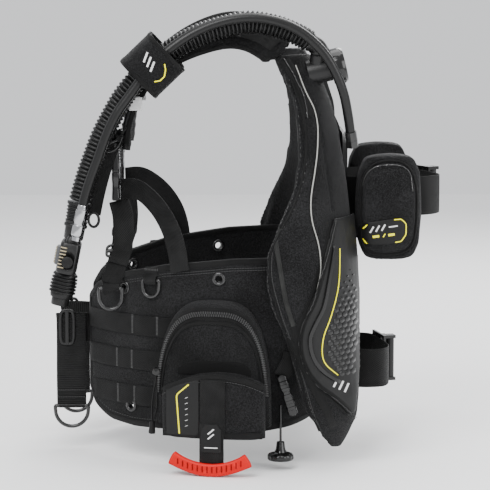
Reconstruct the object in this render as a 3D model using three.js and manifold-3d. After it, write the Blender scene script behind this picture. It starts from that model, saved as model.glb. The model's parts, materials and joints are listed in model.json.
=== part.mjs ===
// Buoyancy compensator vest, as it hangs on its cylinder: a rigid back plate, an air
// cell with two side lobes, padded shoulder straps, a wrap-round waist panel with its
// pockets and weight pouches, the inflator on its corrugated hose, and the two cylinder
// bands with their cam buckles and trim pouches.
//
// Millimetres, +Z up. The wearer faces -X, so their left side is -Y. The origin is the
// middle of the back plate's flat rear rib, where the cylinder rests.
import * as THREE from 'three';
import { mergeVertices } from 'three/addons/utils/BufferGeometryUtils.js';
import Module from 'manifold-3d';

const wasm = await Module();
wasm.setup();

// ---- driving dimensions ------------------------------------------------------------
const GAP = 0.4; // between pieces that rest on each other
const SLIP = 1.0; // round a piece that slides in another
const OVERSHOOT = 1; // how far a cutting shape runs past the face it cuts

const PLATE = { halfWidth: 75, low: -150, high: 190, thick: 3.5, corner: 30 };
const RIB = { halfWidth: 44, low: -140, high: 180, deep: 4 }; // the cylinder rests here
const PAD = { halfWidth: 74, low: -160, high: 205.4, thick: 14 };

// the wearer's waist in plan: a long front half-ellipse and a short rear one
const WAIST = { centreX: -90, front: 250, rear: 62, half: 172 };
const PANEL = { thick: 6, frontAngle: 75, rearAngle: -50, frontRound: 34 };
const PANEL_TOP = [[-335, -12], [-318, 4], [-304, 10], [-280, 20], [-232, 32], [-150, 42], [0, 48]];
const PANEL_LOW = [[-335, -140], [-322, -162], [-300, -170], [-271, -174], [-112, -171], [0, -150]];
const EYELET = { hole: 5.6, places: [[-165, 18], [-275, -149], [-283, 0]] };

// the side lobe of the air cell, level by level: height, front edge, rear edge, half
// width inside, thickness and how far round the back it reaches, in degrees
const LOBE = [
  [296, -103, -50, 84, 20, -50], [270, -90, -38, 102, 26, -64], [235, -79, -24, 122, 30, -72],
  [200, -75, -12, 140, 33, -76], [165, -75, -7, 152, 35, -76], [128, -81, -2, 161, 36, -76],
  [85, -99, 2, 169, 37, -76], [50, -110, 6, 172, 37, -76], [13, -111, 9, 172, 37, -76],
  [-18, -105, 10, 172, 37, -76], [-50, -92, 10, 172, 37, -72], [-96, -80, 11, 172, 35, -62],
  [-127, -72, 11, 172, 32, -50], [-156, -61, 9, 172, 28, -40], [-180, -44, 3, 172, 22, -38],
  [-202, -30, -7, 168, 12, -36],
];
const LOBE_STEPS = 12;
const LOBE_GAP = 0.8; // from the waist panel that the lobe lies on
const LOBE_FREE = 60; // above this height the lobe has no panel inside it
const ARMOUR = { thick: 3, off: 2.5, rearShare: 0.72 };
const ARMOUR_EDGE = [[94, -26], [85, -29], [50, -38], [13, -46], [-18, -58], [-50, -68], [-74, -67],
  [-96, -58], [-112, -45], [-127, -27], [-150, 0]];

const YOKE = { above: 16, high: 286, halfWidth: 50, rear: -14, lean: 26, deep: 12, swell: 6 };

const SHOULDER = { width: 50, thick: 12 };
const SHOULDER_PATH = [[-84, -92, 286], [-102, -88, 304], [-126, -84, 316], [-155, -81, 318],
  [-203, -80, 302], [-240, -75, 277], [-262, -73, 247], [-276, -72, 212], [-281, -73, 170]];

const WEB = { wide: 25, belt: 38, band: 50, thick: 2 };
const RING_WIRE = 2.4; // radius of the D-rings' round wire

const HOSE = { radius: 14.5, sides: 12, steps: 46 };
const HOSE_PATH = [[-52, -108, 307.3], [-61, -108, 313], [-86, -108, 324],
  [-111, -108, 330], [-132, -108, 331], [-160, -108, 325], [-188, -108, 316], [-215, -108, 302],
  [-243, -108, 282], [-265, -108, 261], [-283, -108, 239], [-300, -108, 210],
  [-311, -108, 188], [-320, -108, 165], [-328, -108, 143], [-335, -108, 120], [-338, -108, 109]];
const LEAD = { radius: 6, sides: 8, steps: 60 };
const LEAD_PATH = [[-1, -112, 196], [-4, -117, 215], [-10, -124, 243], [-19, -128, 267],
  [-33, -129.4, 291], [-52, -129.4, 311], [-73, -129.4, 325], [-99, -129.4, 334], [-127, -129.4, 337],
  [-157, -129.4, 333], [-188, -129.4, 322], [-215, -129.4, 306], [-243, -129.4, 283],
  [-260, -129.4, 262], [-276, -129.4, 240], [-289, -129.4, 222], [-299, -129.4, 203],
  [-308, -129.4, 181], [-315, -129.6, 161], [-323, -130.4, 140], [-329, -131.2, 122],
  [-333, -131.6, 107]];
const WRAP = { at: [-246, -94, 278], way: [-0.72, 0, -0.69], length: 52, halfWide: 46,
  halfDeep: 30, wall: 2.5 };

const ELBOW = { seat: [-58, -97, 266], mouth: [-25, -97, 274], radius: 16, spigot: 11, turn: 13,
  cap: 19, capRadius: 23 };
const FITTING = { sleeve: 12, long: 20, radius: 7.5, hex: 8.5 };
const CUFF = { low: [-347, -108, 60.4], top: 15.5, bottom: 12, gap: 1.7 };
const INFLATOR = { at: [-352, -108, 40], tilt: 11.6, half: 13, outer: -32, inner: 16, tall: 40 };
const BUTTON = { radius: 7.5, stand: 4, deep: 5, travel: 3, slip: 0.6, y: -8, half: 9, tall: 12 };
const COUPLING = { low: [-342.5, -132, 61.5], radius: 7.5, gap: 0.8 };
const BUCKLE = { x: -294, y: -73, wide: 34, thick: 11, low: 107, split: 143, high: 180, wall: 3,
  tongue: 16 };
const FRONT_STRAP = [[-291, -73, 105.5], [-286, -82, 85], [-287, -98, 50], [-296, -111.7, 18],
  [-300, -115.7, 5.6]];
const REAR_STRAP = [[-287.3, -74, 121], [-268, -82, 121], [-244, -104, 104], [-226, -128, 78],
  [-217, -147, 52], [-213, -154.2, 26]];
const CHEST_RING = { at: [-300, -117, -0.5], half: 14, deep: 26 };
const PANEL_RING = { place: [-248, 2.85, 13], along: [0.87, -0.49, 0], half: 11.5, deep: 21 };
const BELT = { front: -372, y: -46, z: -61, dropX: -354, low: -160 };
const BELT_RING = { half: 21, deep: 27 };
const ADJUSTER = { ends: [[-89, -100], [-73, -150]], wide: 13, thick: 9 };
const KNOB = { at: [-89, -174.2, -184], cordTop: -138, cord: 1.5 };

const POCKET = { front: -238, rear: -100, top: -8, low: -167, arch: 75, deep: 22 };
const SLEEVE = { front: -219, rear: -107, top: -94, low: -171, deep: 26, wall: 2.5 };
const PULL = { front: -177, rear: -151, top: -152, low: -204, thick: 4 };
const HANDLE = { x: -165, z: -196, reach: 41, sag: 14, tall: 14, thick: 10 };
const SLIDER = { x: -235, z: -98, radius: 5, thick: 7 }; // on the left pocket's zip
const TOGGLE = { cord: 1.6, gap: 0.8, low: -162, radius: 3.6, end: -176 }; // gap lets it swing

const BAND = { upper: 110, lower: -112, upperReach: 118, lowerReach: 55, slotY: 58, slotWide: 9,
  slotSpare: 3 };
const CAM = { long: 52, tall: 60, plate: 3, ear: 4, pin: 2, pinUp: 8, pinBack: 9, lever: 36,
  barrel: 5.6, slot: 8 };
const TRIM = { front: 8, rear: 90, low: 31, top: 168, inner: 68, deep: 52, corner: 24 };

// ---- shape helpers -----------------------------------------------------------------
const V = (x, y, z) => new THREE.Vector3(x, y, z);
const lerp = THREE.MathUtils.lerp;
const rad = THREE.MathUtils.degToRad;

/** The value at x of a broken line through [x, value] points, with x rising or falling. */
function along(points, x) {
  const list = points[0][0] < points.at(-1)[0] ? points : [...points].reverse();
  if (x <= list[0][0]) return list[0][1];
  for (let i = 1; i < list.length; i += 1) {
    const [x0, v0] = list[i - 1];
    const [x1, v1] = list[i];
    if (x <= x1) return lerp(v0, v1, (x - x0) / (x1 - x0));
  }
  return list.at(-1)[1];
}

/** Turn a closed geometry's faces outwards when its signed volume is negative. */
function outward(geometry) {
  const p = geometry.attributes.position;
  const index = geometry.index.array;
  const corner = (k) => new THREE.Vector3().fromBufferAttribute(p, index[k]);
  let volume = 0;
  for (let k = 0; k < index.length; k += 3) {
    volume += corner(k).dot(corner(k + 1).cross(corner(k + 2)));
  }
  if (volume < 0) {
    for (let k = 0; k < index.length; k += 3) {
      [index[k + 1], index[k + 2]] = [index[k + 2], index[k + 1]];
    }
  }
  return geometry;
}

/**
 * A closed skin over rows of points. Every row has the same even number of points, and
 * its first half faces its second half, so an end is closed by the strip between them.
 * A ring joins its last row to its first instead.
 */
function loft(rows, ring = false) {
  const n = rows[0].length;
  const faces = [];
  const last = ring ? rows.length : rows.length - 1;
  for (let r = 0; r < last; r += 1) {
    const next = (r + 1) % rows.length;
    for (let i = 0; i < n; i += 1) {
      const j = (i + 1) % n;
      faces.push(r * n + i, next * n + i, next * n + j, r * n + i, next * n + j, r * n + j);
    }
  }
  if (!ring) {
    const end = (rows.length - 1) * n;
    for (let i = 0; i < n / 2 - 1; i += 1) {
      const far = n - 1 - i;
      faces.push(i, i + 1, far - 1, i, far - 1, far);
      faces.push(end + i, end + far - 1, end + i + 1, end + i, end + far, end + far - 1);
    }
  }
  const geometry = new THREE.BufferGeometry();
  const corners = rows.flat().flatMap((p) => [p.x, p.y, p.z]);
  geometry.setAttribute('position', new THREE.Float32BufferAttribute(corners, 3));
  geometry.setIndex(faces);
  return outward(geometry);
}

/** Only the positions of a geometry, with shared corners merged. */
function merged(geometry) {
  const g = geometry.clone();
  g.deleteAttribute('normal');
  g.deleteAttribute('uv');
  return mergeVertices(g, 1e-4);
}

function toSolid(geometry) {
  const g = merged(geometry);
  return new wasm.Manifold(new wasm.Mesh({
    numProp: 3,
    vertProperties: new Float32Array(g.attributes.position.array),
    triVerts: new Uint32Array(g.index.array),
  }));
}

function toGeometry(solid) {
  const mesh = solid.getMesh();
  const geometry = new THREE.BufferGeometry();
  geometry.setAttribute('position', new THREE.BufferAttribute(mesh.vertProperties, 3));
  geometry.setIndex(new THREE.BufferAttribute(mesh.triVerts, 1));
  return geometry;
}

/** The first geometry without the others. */
function cut(geometry, ...tools) {
  return toGeometry(tools.reduce((solid, tool) => solid.subtract(toSolid(tool)), toSolid(geometry)));
}

/** One solid of all the geometries. */
function join(geometry, ...more) {
  return toGeometry(more.reduce((solid, next) => solid.add(toSolid(next)), toSolid(geometry)));
}

/** The same shape on the wearer's other side. */
function mirrored(geometry) {
  const g = geometry.clone().scale(1, -1, 1);
  if (!g.index) return outward(merged(g));
  g.setIndex([...g.index.array]);
  return outward(g);
}

/** A box between two corners. */
function block(x0, y0, z0, x1, y1, z1) {
  return new THREE.BoxGeometry(x1 - x0, y1 - y0, z1 - z0)
    .translate((x0 + x1) / 2, (y0 + y1) / 2, (z0 + z1) / 2);
}

/** A rod between two points. */
function rod(from, to, radius, sides = 16, endRadius = radius) {
  const way = to.clone().sub(from);
  const turn = new THREE.Quaternion().setFromUnitVectors(V(0, 1, 0), way.clone().normalize());
  return new THREE.CylinderGeometry(endRadius, radius, way.length(), sides)
    .applyQuaternion(turn).translate(...from.clone().add(to).multiplyScalar(0.5).toArray());
}

/** A turned piece about an upright axis, from its profile's top to its bottom. */
function turned(profile, sides) {
  const points = profile.map(([r, h]) => new THREE.Vector2(r, h)).reverse();
  return new THREE.LatheGeometry(points, sides).rotateX(Math.PI / 2);
}

/** A tube along a smooth curve through points. */
function tube(points, radius, sides, steps) {
  const section = new THREE.Shape(Array.from({ length: sides }, (_, i) => {
    const a = (i / sides) * 2 * Math.PI;
    return new THREE.Vector2(radius * Math.cos(a), radius * Math.sin(a));
  }));
  const path = new THREE.CatmullRomCurve3(points.map((p) => V(...p)), false, 'centripetal');
  return new THREE.ExtrudeGeometry(section, { steps, bevelEnabled: false, extrudePath: path });
}

/**
 * A flat band along a path: wide gives the direction of its width at a share of the way,
 * and taper its share of the full width. The thickness is square to both.
 */
function ribbon(points, width, thick, steps, wide, taper = () => 1) {
  const path = new THREE.CatmullRomCurve3(points.map((p) => V(...p)), false, 'centripetal');
  const rows = [];
  for (let i = 0; i <= steps; i += 1) {
    const u = i / steps;
    const tangent = path.getTangentAt(u);
    const across = V(...wide(u));
    across.addScaledVector(tangent, -across.dot(tangent)).normalize();
    const normal = tangent.clone().cross(across);
    const w = (width / 2) * taper(u);
    rows.push([[-1, -1], [1, -1], [1, 1], [-1, 1]].map(([a, b]) => path.getPointAt(u)
      .addScaledVector(across, a * w).addScaledVector(normal, (b * thick) / 2)));
  }
  return loft(rows);
}

/** A D-ring of round wire hanging from its straight bar, which runs along forward. */
function dRing(at, forward, { half, deep }) {
  const run = V(...forward).normalize();
  const centre = V(...at);
  const points = [];
  for (let i = 0; i <= 10; i += 1) {
    const a = (i / 10) * Math.PI;
    points.push([Math.cos(a), -Math.sin(a)]);
  }
  const flat = points.map(([c, s]) => [half * c, -(deep - half) + half * s]);
  flat.push([-half, 0], [half, 0]);
  const rows = flat.map(([a, b], i) => {
    const before = flat[(i + flat.length - 1) % flat.length];
    const after = flat[(i + 1) % flat.length];
    const way = new THREE.Vector2(after[0] - before[0], after[1] - before[1]).normalize();
    const out = run.clone().multiplyScalar(way.y).add(V(0, 0, -way.x));
    const side = run.clone().cross(V(0, 0, 1));
    const middle = centre.clone().addScaledVector(run, a).add(V(0, 0, b));
    return Array.from({ length: 6 }, (_, k) => {
      const t = (k / 6) * 2 * Math.PI;
      return middle.clone()
        .addScaledVector(out, RING_WIRE * Math.cos(t))
        .addScaledVector(side, RING_WIRE * Math.sin(t));
    });
  });
  return loft(rows, true);
}

// ---- the waist's curve -------------------------------------------------------------
/** Point and outward normal of a plan curve at an angle in degrees, 0 at the side. */
function planPoint(angle, half, front, rear, centreX) {
  const a = rad(angle);
  const reach = angle > 0 ? front : rear;
  const point = V(centreX - reach * Math.sin(a), -half * Math.cos(a), 0);
  const normal = V(-Math.sin(a) / reach, -Math.cos(a) / half, 0).normalize();
  return [point, normal];
}

const waistPoint = (angle) => planPoint(angle, WAIST.half, WAIST.front, WAIST.rear, WAIST.centreX);
const waistAngle = (x) => {
  const reach = x < WAIST.centreX ? WAIST.front : WAIST.rear;
  return THREE.MathUtils.radToDeg(Math.asin((WAIST.centreX - x) / reach));
};

/** A point at x on the waist's curve, out from it by offset, at height z. */
function onWaist(x, offset, z) {
  const [point, normal] = waistPoint(waistAngle(x));
  return point.addScaledVector(normal, offset).setZ(z);
}

/**
 * A pad that follows the waist from x to x. low and high give its edges at each x, inner
 * its back's offset, and depth its thickness at a share of its length and of its height.
 */
function waistPad({ from, to, low, high, inner, depth, steps = 10, rise = 3 }) {
  const rows = [];
  const a0 = waistAngle(from);
  const a1 = waistAngle(to);
  for (let i = 0; i <= steps; i += 1) {
    const u = i / steps;
    const [point] = waistPoint(lerp(a0, a1, u));
    const z0 = low(point.x);
    const z1 = high(point.x);
    const outer = [];
    const back = [];
    for (let k = 0; k <= rise; k += 1) {
      const v = k / rise;
      const z = lerp(z0, z1, v);
      outer.push(onWaist(point.x, inner + depth(u, v), z));
      back.push(onWaist(point.x, inner, z));
    }
    rows.push([...outer, ...back.reverse()]);
  }
  return loft(rows);
}

// ---- the air cell ------------------------------------------------------------------
const lobeShares = Array.from({ length: LOBE_STEPS + 1 }, (_, i) => i / LOBE_STEPS);
const lobeDepth = (share) => Math.sin(Math.PI * (0.07 + 0.86 * share)) ** 0.6;

/** The lobe's inner point and normal at a share of its way round a curve of given reach. */
function lobeOnCurve([z, front, , half, , rearAngle], reach, share) {
  const ahead = WAIST.centreX - front;
  const frontAngle = THREE.MathUtils.radToDeg(Math.asin(ahead / (ahead > 0 ? WAIST.front : reach)));
  const angle = lerp(frontAngle, rearAngle, share);
  const [point, normal] = planPoint(angle, half, WAIST.front, reach, WAIST.centreX);
  return [point.setZ(z), normal];
}

/** The rear reach that brings the lobe's outer face to its stated rear edge. */
function lobeReach(level) {
  const [z, , rear, , thick] = level;
  const least = z > LOBE_FREE ? 0 : WAIST.rear;
  let reach = WAIST.rear;
  for (let round = 0; round < 6; round += 1) {
    const seen = lobeShares.map((share) => {
      const [point, normal] = lobeOnCurve(level, reach, share);
      return point.x + normal.x * (LOBE_GAP + thick * lobeDepth(share));
    });
    reach = Math.max(least, reach + rear - Math.max(...seen));
  }
  return reach;
}

/** Inner point and outward normal of the lobe at a share of its way from front to back. */
const lobeInner = (level, share) => lobeOnCurve(level, lobeReach(level), share);

function lobeOuter(level, share, extra = 0) {
  const [point, normal] = lobeInner(level, share);
  return point.addScaledVector(normal, LOBE_GAP + level[4] * lobeDepth(share) + extra);
}

function lobeShape(extra = 0) {
  const rows = LOBE.map((level) => {
    const inner = lobeShares.map((share) => {
      const [point, normal] = lobeInner(level, share);
      return point.addScaledVector(normal, LOBE_GAP - extra);
    });
    return [...lobeShares.map((share) => lobeOuter(level, share, extra)), ...inner.reverse()];
  });
  return loft(rows);
}

/** The share of the way round at which the lobe's outer face reaches x. */
function shareAtX(level, x) {
  let best = 0;
  for (let s = 0; s <= 0.6; s += 0.01) {
    if (lobeOuter(level, s).x <= x) best = s;
  }
  return best;
}

/** The level at any height, between the stated ones. */
function levelAt(z) {
  const i = LOBE.findIndex((level) => level[0] <= z);
  const t = (LOBE[i - 1][0] - z) / (LOBE[i - 1][0] - LOBE[i][0]);
  return LOBE[i].map((value, k) => lerp(LOBE[i - 1][k], value, t));
}

function armourShape() {
  const rows = ARMOUR_EDGE.map(([z, x]) => {
    const level = levelAt(z);
    const start = shareAtX(level, x);
    const shares = Array.from({ length: 7 }, (_, i) => lerp(start, ARMOUR.rearShare, i / 6));
    return [
      ...shares.map((s) => lobeOuter(level, s, ARMOUR.off + ARMOUR.thick)),
      ...shares.map((s) => lobeOuter(level, s, ARMOUR.off)).reverse(),
    ];
  });
  return loft(rows);
}

// ---- finishes ----------------------------------------------------------------------
function finish(color, roughness, metalness = 0) {
  return new THREE.MeshStandardMaterial({ color, roughness, metalness });
}
const FINISH = {
  cordura: finish(0x16171a, 0.85),
  lining: finish(0x101113, 0.95),
  webbing: finish(0x1c1d20, 0.7),
  rubber: finish(0x131416, 0.45),
  plastic: finish(0x0d0e10, 0.3),
  red: finish(0xe8141c, 0.35),
  steel: finish(0xb9bcc0, 0.25, 1),
};

const group = new THREE.Group();
function add(name, material, geometry) {
  const mesh = new THREE.Mesh(geometry, FINISH[material]);
  mesh.name = name;
  group.add(mesh);
}
function addPair(name, material, geometry) {
  add(`${name}_left`, material, geometry);
  add(`${name}_right`, material, mirrored(geometry));
}

// ---- back plate and pad ------------------------------------------------------------
const plateFront = -RIB.deep - PLATE.thick;
function backPlate() {
  const outline = new THREE.Shape();
  const inset = PLATE.halfWidth - PLATE.corner;
  const high = PLATE.high - PLATE.corner;
  const low = PLATE.low + PLATE.corner;
  [[inset, high], [-inset, high], [-inset, low], [inset, low]].forEach(([y, z], quarter) => {
    const from = quarter * (Math.PI / 2);
    outline.absarc(y, z, PLATE.corner, from, from + Math.PI / 2);
  });
  const settings = { depth: PLATE.thick, bevelEnabled: false, curveSegments: 5 };
  const sheet = new THREE.ExtrudeGeometry(outline, settings)
    .applyMatrix4(new THREE.Matrix4().makeBasis(V(0, 1, 0), V(0, 0, 1), V(1, 0, 0)))
    .translate(plateFront, 0, 0);
  const rib = block(-RIB.deep - OVERSHOOT, -RIB.halfWidth, RIB.low, 0, RIB.halfWidth, RIB.high);
  const slots = [BAND.upper, BAND.lower].flatMap((z) => [-1, 1].map((side) => {
    const y = side * BAND.slotY;
    const wide = BAND.slotWide / 2;
    const tall = WEB.band / 2 + BAND.slotSpare;
    return block(plateFront - OVERSHOOT, y - wide, z - tall, OVERSHOOT, y + wide, z + tall);
  }));
  return cut(join(sheet, rib), ...slots);
}
add('back_plate', 'plastic', backPlate());

/** A soft pad against the plate's front, thinner towards its edges. */
function backPad() {
  const rear = plateFront - WEB.thick - 3 * GAP;
  const rows = [];
  for (let i = 0; i <= 8; i += 1) {
    const v = i / 8;
    const z = lerp(PAD.low, PAD.high, v);
    const w = PAD.halfWidth * (0.7 + 0.3 * Math.sin(Math.PI * v) ** 0.5);
    const points = [];
    for (let k = 0; k <= 8; k += 1) {
      const u = k / 8;
      const crown = 0.45 + 0.55 * Math.sin(Math.PI * u) ** 0.5 * Math.sin(Math.PI * (0.1 + 0.8 * v)) ** 0.5;
      points.push(V(rear - PAD.thick * crown, lerp(-w, w, u), z));
    }
    const back = points.map((p) => V(rear, p.y, z)).reverse();
    rows.push([...points, ...back]);
  }
  return loft(rows);
}
add('back_pad', 'lining', backPad());

// ---- the air cell's lobes, yoke and armour -----------------------------------------
const plateEdge = PLATE.halfWidth + GAP;
const FAR = 400; // further than any piece reaches
addPair('wing', 'cordura', cut(
  lobeShape(),
  block(-FAR, -plateEdge, -FAR, FAR, plateEdge, PLATE.high + YOKE.above),
  block(-FAR, -YOKE.halfWidth, 0, FAR, YOKE.halfWidth, FAR),
));
addPair('armour', 'rubber', armourShape());

/** The part of the air cell behind the neck, which joins the two lobes above the plate. */
function yoke() {
  const rows = [];
  for (let i = 0; i <= 6; i += 1) {
    const v = i / 6;
    const z = lerp(PLATE.high + YOKE.above, YOKE.high, v);
    const rear = YOKE.rear - YOKE.lean * v;
    const half = YOKE.halfWidth - GAP;
    const outer = [];
    const inner = [];
    for (let k = 0; k <= 6; k += 1) {
      const y = lerp(-half, half, k / 6);
      const deep = YOKE.deep + YOKE.swell * Math.sin(Math.PI * (k / 6));
      outer.push(V(rear, y, z));
      inner.push(V(rear - deep * (0.6 + 0.4 * Math.sin(Math.PI * v)), y, z));
    }
    rows.push([...outer, ...inner.reverse()]);
  }
  return loft(rows);
}
add('wing_yoke', 'cordura', yoke());

// ---- shoulder straps ---------------------------------------------------------------
const shoulderWide = (u) => [0, 1, lerp(1.6, 0.5, Math.min(1, u * 1.4)) * (u < 0.75 ? 1 : 0.4)];
const shoulder = ribbon(
  SHOULDER_PATH, SHOULDER.width, SHOULDER.thick, 18, shoulderWide, (u) => lerp(1, 0.78, u),
);
// the strap starts in front of the lobe, clear of it along the way it leaves
const lobeRoom = [0, 1, 2].map((k) => lobeShape(GAP).translate(-0.3 * k, 0, 0.3 * k));
addPair('shoulder_strap', 'cordura', cut(shoulder, ...lobeRoom));

// ---- waist panel, pockets and weights ----------------------------------------------
const panelFrontX = waistPoint(PANEL.frontAngle)[0].x;
const panelRearX = waistPoint(PANEL.rearAngle)[0].x;
/** How much a rounded front corner takes off the panel's height at x. */
function frontRound(x) {
  const d = Math.min(PANEL.frontRound, Math.max(0, x - panelFrontX));
  const r = PANEL.frontRound;
  return r - Math.sqrt(r * r - (r - d) * (r - d));
}
const panel = waistPad({
  from: panelFrontX, to: panelRearX, steps: 26, rise: 1, inner: -PANEL.thick,
  low: (x) => along(PANEL_LOW, x) + 0.7 * frontRound(x),
  high: (x) => along(PANEL_TOP, x) - 0.5 * frontRound(x),
  depth: () => PANEL.thick,
});
const eyelets = EYELET.places.map(([x, z]) => rod(
  onWaist(x, -3 * PANEL.thick, z), onWaist(x, 3 * PANEL.thick, z), EYELET.hole, 10,
));
addPair('waist_panel', 'cordura', cut(panel, ...eyelets));

/** Height of the pocket's arched top at x. */
function archTop(x) {
  const middle = (POCKET.front + POCKET.rear) / 2;
  const half = (POCKET.rear - POCKET.front) / 2;
  const t = Math.min(1, Math.abs(x - middle) / half);
  return POCKET.top - POCKET.arch * (1 - Math.sqrt(1 - t ** 2.4));
}

const pocket = waistPad({
  from: POCKET.front, to: POCKET.rear, steps: 12, rise: 4, inner: GAP,
  low: () => POCKET.low, high: archTop,
  depth: (u, v) => {
    const crown = Math.sin(Math.PI * u) ** 0.5 * Math.sin(Math.PI * (0.1 + 0.8 * v)) ** 0.5;
    return POCKET.deep * (0.55 + 0.45 * crown);
  },
});
const sleeveBack = GAP + POCKET.deep + GAP;
const sleeveSkin = waistPad({
  from: SLEEVE.front, to: SLEEVE.rear, steps: 8, rise: 3, inner: sleeveBack,
  low: () => SLEEVE.low, high: () => SLEEVE.top, depth: () => SLEEVE.deep,
});
const sleeveRoom = waistPad({
  from: SLEEVE.front + SLEEVE.wall, to: SLEEVE.rear - SLEEVE.wall, steps: 8, rise: 1,
  inner: sleeveBack + SLEEVE.wall,
  low: () => SLEEVE.low - OVERSHOOT, high: () => SLEEVE.top - SLEEVE.wall,
  depth: () => SLEEVE.deep - 2 * SLEEVE.wall,
});
addPair('cargo_pocket', 'cordura', pocket);
addPair('weight_sleeve', 'cordura', cut(sleeveSkin, sleeveRoom));

const pullInner = sleeveBack + SLEEVE.deep + SLIP;
function weightPouch() {
  const body = waistPad({
    from: SLEEVE.front + SLEEVE.wall + SLIP, to: SLEEVE.rear - SLEEVE.wall - SLIP, steps: 8, rise: 1,
    inner: sleeveBack + SLEEVE.wall + SLIP,
    low: () => SLEEVE.low - SLIP, high: () => SLEEVE.top - SLEEVE.wall - SLIP,
    depth: () => SLEEVE.deep - 2 * SLEEVE.wall - 2 * SLIP,
  });
  const lip = waistPad({
    from: PULL.front, to: PULL.rear, steps: 3, rise: 1, inner: sleeveBack + SLEEVE.deep / 2,
    low: () => SLEEVE.low - SLIP - 4, high: () => SLEEVE.low - SLIP + 0.5,
    depth: () => pullInner - GAP - sleeveBack - SLEEVE.deep / 2,
  });
  return join(body, lip);
}
addPair('weight_pouch', 'cordura', weightPouch());

/** The rip handle: a flat tongue and a grip that smiles upwards, flared at its ends. */
function ripHandle() {
  const tongue = waistPad({
    from: PULL.front, to: PULL.rear, steps: 3, rise: 1, inner: pullInner,
    low: () => PULL.low, high: () => PULL.top, depth: () => PULL.thick,
  });
  const rows = [];
  for (let i = 0; i <= 12; i += 1) {
    const t = lerp(-1, 1, i / 12);
    const x = HANDLE.x + HANDLE.reach * t;
    const z = HANDLE.z + HANDLE.sag * (t * t - 1);
    const half = (HANDLE.tall / 2) * (1 + 0.15 * t ** 4);
    const inner = pullInner - 1;
    rows.push([onWaist(x, inner, z - half), onWaist(x, inner, z + half),
      onWaist(x, inner + HANDLE.thick, z + half), onWaist(x, inner + HANDLE.thick, z - half)]);
  }
  return join(tongue, loft(rows));
}
addPair('rip_handle', 'red', ripHandle());

// ---- zip slider and its pull on the left pocket ------------------------------------
const sliderAt = onWaist(SLIDER.x, POCKET.deep * 0.55 + 6, SLIDER.z);
const sliderFace = sliderAt.clone().add(V(0, -SLIDER.thick, 0));
add('zip_slider_left', 'plastic', rod(sliderAt, sliderFace, SLIDER.radius, 8));
const pullTop = sliderAt.clone().add(V(0, -SLIDER.thick / 2, -SLIDER.radius - TOGGLE.gap));
const pullAt = (ahead, z) => V(pullTop.x - ahead, pullTop.y, z);
const pullRoute = [pullTop, pullAt(3, (pullTop.z + TOGGLE.low) / 2), pullAt(5, TOGGLE.low)];
add('zip_pull_left', 'webbing', join(
  tube(pullRoute.map((p) => p.toArray()), TOGGLE.cord, 6, 8),
  rod(pullAt(5, TOGGLE.low + 2), pullAt(5.5, TOGGLE.end), TOGGLE.radius, 8, TOGGLE.radius * 1.2),
));

// ---- cylinder bands, cam buckles and trim pouches ----------------------------------
/** Where the straight run that carries a band's buckle starts and ends, in plan. */
const buckleRun = (reach) => [V(reach * 0.7, BAND.slotY - 2, 0), V(reach * 0.92, 3, 0)];

/** A band's closed loop: across the plate's front, out of the slots and round the back. */
function tankBand(z, reach) {
  const front = plateFront - WEB.thick / 2 - GAP;
  const y = BAND.slotY;
  const [runStart, runEnd] = buckleRun(reach);
  const corner = [[front, y - 9], [front + 0.6, y - 2.5], [front + 4, y - 0.5], [3, y]];
  const bend = (points, steps) => new THREE.CatmullRomCurve3(points, false, 'centripetal')
    .getPoints(steps).map((p) => [p.x, p.y]);
  const leaving = bend([V(3, y, 0), V(reach * 0.3, y + 8.6, 0), runStart], 6).slice(1);
  const back = bend([runEnd, V(reach * 0.97, -14, 0), V(reach, -34, 0), V(reach * 0.84, -y - 2, 0),
    V(reach * 0.4, -y - 8, 0), V(3, -y, 0)], 18).slice(0, -1);
  const plan = [...corner, ...leaving, ...back, ...corner.map(([a, b]) => [a, -b]).reverse()];
  const rows = plan.map(([px, py], i) => {
    const before = plan[(i + plan.length - 1) % plan.length];
    const after = plan[(i + 1) % plan.length];
    const way = V(after[0] - before[0], after[1] - before[1], 0).normalize();
    const out = V(way.y, -way.x, 0).multiplyScalar(WEB.thick / 2);
    const half = WEB.band / 2;
    return [[-1, -half], [1, -half], [1, half], [-1, half]].map(
      ([side, h]) => V(px, py, z + h).addScaledVector(out, side),
    );
  });
  return loft(rows, true);
}

/**
 * A cam buckle in its own frame: x runs along the band to the hinge, y out from it.
 * The frame is a slotted plate with two ears that carry the pin; the lever turns on it.
 */
function camBuckle() {
  const { long, tall, plate, ear, pin, lever, barrel, slot } = CAM;
  const pinX = long / 2 - CAM.pinBack;
  const pinY = plate + CAM.pinUp;
  const webHalf = WEB.band / 2 + OVERSHOOT;
  const base = block(-long / 2, 0, -tall / 2, long / 2, plate, tall / 2);
  const slots = [-0.42, 0.2].map((share) => block(
    share * long, -OVERSHOOT, -webHalf, share * long + slot, plate + OVERSHOOT, webHalf,
  ));
  const ears = [-1, 1].map((side) => {
    const middle = side * (tall / 2 - ear / 2);
    return block(pinX - 7, plate - 0.5, middle - ear / 2, pinX + 7, pinY + 6, middle + ear / 2);
  });
  const onPin = (half, radius) => rod(V(pinX, pinY, -half), V(pinX, pinY, half), radius, 14);
  const frame = join(cut(base, ...slots), ...ears, onPin(tall / 2 - 0.5, pin));
  const leverHalf = tall / 2 - ear - SLIP / 2;
  const grip = block(pinX - lever, pinY - 1, -leverHalf, pinX, pinY + 4, leverHalf);
  return [frame, cut(join(onPin(leverHalf, barrel), grip), onPin(tall, pin + SLIP / 2))];
}
const BANDS = [['upper', BAND.upper, BAND.upperReach], ['lower', BAND.lower, BAND.lowerReach]];
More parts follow.
